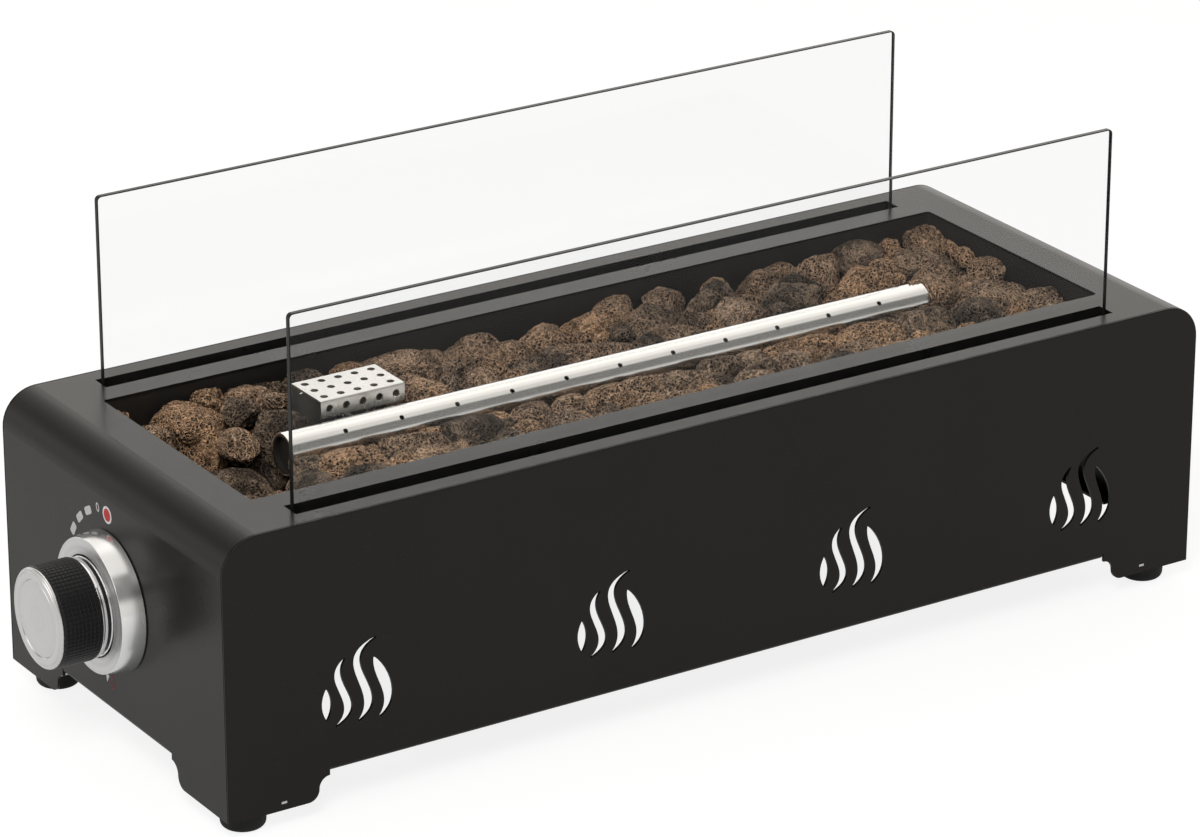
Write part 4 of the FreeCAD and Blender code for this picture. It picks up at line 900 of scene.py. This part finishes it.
def floorMaterial():  # lit evenly where it is seen, plainer where it only throws light back
    material = bpy.data.materials.new("paleFloor")
    material.use_nodes = True
    tree = material.node_tree
    tree.nodes.remove(tree.nodes["Principled BSDF"])
    rays = addNode(tree, "LightPath")
    direct = mathNode(tree, "MAXIMUM", rays.outputs["Is Camera Ray"], rays.outputs["Is Transmission Ray"])
    seen = mathNode(tree, "MAXIMUM", direct, rays.outputs["Is Glossy Ray"])
    plain, kept, glow = addNode(tree, "BsdfDiffuse"), addNode(tree, "BsdfDiffuse"), addNode(tree, "Emission")
    plain.inputs["Color"].default_value = (*[ground["plain"]] * 3, 1)
    link(tree, remap(tree, direct, *ground["kept"]), kept.inputs["Color"])
    link(tree, remap(tree, direct, *ground["glow"]), glow.inputs["Strength"])
    both = addNode(tree, "AddShader")
    link(tree, kept.outputs[0], both.inputs[0])
    link(tree, glow.outputs[0], both.inputs[1])
    above = mixShaders(tree, seen, plain.outputs[0], both.outputs[0])
    geometry, clear = addNode(tree, "NewGeometry"), addNode(tree, "BsdfTransparent")
    sided = mixShaders(tree, geometry.outputs["Backfacing"], above, clear.outputs[0])  # clear from below
    link(tree, sided, tree.nodes["Material Output"].inputs["Surface"])
    return material


def studioFloor():
    bm = bmesh.new()
    bmesh.ops.create_circle(bm, cap_ends=True, segments=ground["steps"], radius=ground["radius"])
    mesh = bpy.data.meshes.new("studioFloor")
    bm.to_mesh(mesh)
    bm.free()
    floor = bpy.data.objects.new("studioFloor", mesh)
    scene.collection.objects.link(floor)
    mesh.materials.append(floorMaterial())


sky = {"edge": (0.24, 0.3), "high": 1.0, "low": 0.26, "horizon": 0.9, "horizonFade": (0.29, 0.4),
       "tilt": (0.0, 0.7, 0.7), "tint": (1, 0.97, 0.925), "soft": 0.6, "whiteBelow": (0.2, 0.3),
       "patches": [{"aim": (0.5, 0.76, 0.42), "strength": 0.66, "span": (0.55, 0.88)},
                   {"aim": (-0.19, 0.78, 0.6), "strength": -0.75, "span": (0.86, 0.975)}]}


def facing(tree, place, aim):
    node = addNode(tree, "VectorMath", operation="DOT_PRODUCT")
    node.inputs[1].default_value = aim
    link(tree, place.outputs["Generated"], node.inputs[0])
    return node.outputs["Value"]


def studioSky():  # white overhead and behind, grey in front, white where the camera looks
    world = bpy.data.worlds.new("studioSky")
    scene.world = world
    world.use_nodes = True
    tree = world.node_tree
    backdrop = tree.nodes["Background"]
    place = addNode(tree, "TexCoord")
    split = addNode(tree, "SeparateXYZ")
    link(tree, place.outputs["Generated"], split.inputs[0])
    high = remap(tree, facing(tree, place, sky["tilt"]), 0.0, 1.0, *sky["edge"])
    lower = remap(tree, split.outputs["Z"], sky["horizon"], sky["low"], *sky["horizonFade"])
    upper = mathNode(tree, "MULTIPLY", high, mathNode(tree, "SUBTRACT", sky["high"], lower))
    light = mathNode(tree, "ADD", lower, upper)
    for patch in sky["patches"]:
        aimed = facing(tree, place, patch["aim"])
        light = mathNode(tree, "ADD", light, remap(tree, aimed, 0.0, patch["strength"], *patch["span"]))
    rays = addNode(tree, "LightPath")
    softened = remap(tree, rays.outputs["Is Diffuse Ray"], 1.0, sky["soft"])
    light = mathNode(tree, "MULTIPLY", light, softened)
    level = remap(tree, split.outputs["Z"], 1.0, 0.0, *sky["whiteBelow"])
    through = mathNode(tree, "MULTIPLY", rays.outputs["Is Transmission Ray"], level)
    white = mathNode(tree, "MAXIMUM", rays.outputs["Is Camera Ray"], through)
    link(tree, blendColours(tree, white, sky["tint"], (1, 1, 1)), backdrop.inputs["Color"])
    link(tree, mathNode(tree, "MAXIMUM", light, white), backdrop.inputs["Strength"])


lampAim = (0, 0, 0.08)
lamps = {"keyLamp": {"place": (-1.3, -1.5, 1.9), "size": 1.1, "power": 9.0, "mirrored": True},
         "stoneLamp": {"place": (-1.3, -1.5, 1.9), "size": 0.8, "power": 28.0, "mirrored": False},
         "endLamp": {"place": (-2.0, 0.6, 0.9), "size": 0.9, "power": 2.6, "mirrored": True}}


def studioLamps():
    for name, settings in lamps.items():
        data = bpy.data.lights.new(name, "AREA")
        data.size = settings["size"]
        data.energy = settings["power"]
        lamp = bpy.data.objects.new(name, data)
        lamp.location = settings["place"]
        lamp.visible_glossy = settings["mirrored"]
        direction = Vector(lampAim) - Vector(settings["place"])
        lamp.rotation_euler = direction.to_track_quat("-Z", "Y").to_euler()
        scene.collection.objects.link(lamp)


view = {"place": (-1.37596, -2.1578, 1.1721), "direction": (0.50081, 0.77784, -0.37967), "lens": 162.82,
        "sensor": 36.0, "clipEnd": 200.0}


def studioCamera():
    data = bpy.data.cameras.new("studioCamera")
    data.lens = view["lens"]
    data.sensor_width = view["sensor"]
    data.clip_end = view["clipEnd"]
    camera = bpy.data.objects.new("studioCamera", data)
    camera.location = view["place"]
    camera.rotation_euler = Vector(view["direction"]).to_track_quat("-Z", "Y").to_euler()
    scene.collection.objects.link(camera)
    scene.camera = camera


studioFloor()
studioSky()
studioLamps()
studioCamera()
print("studio set")
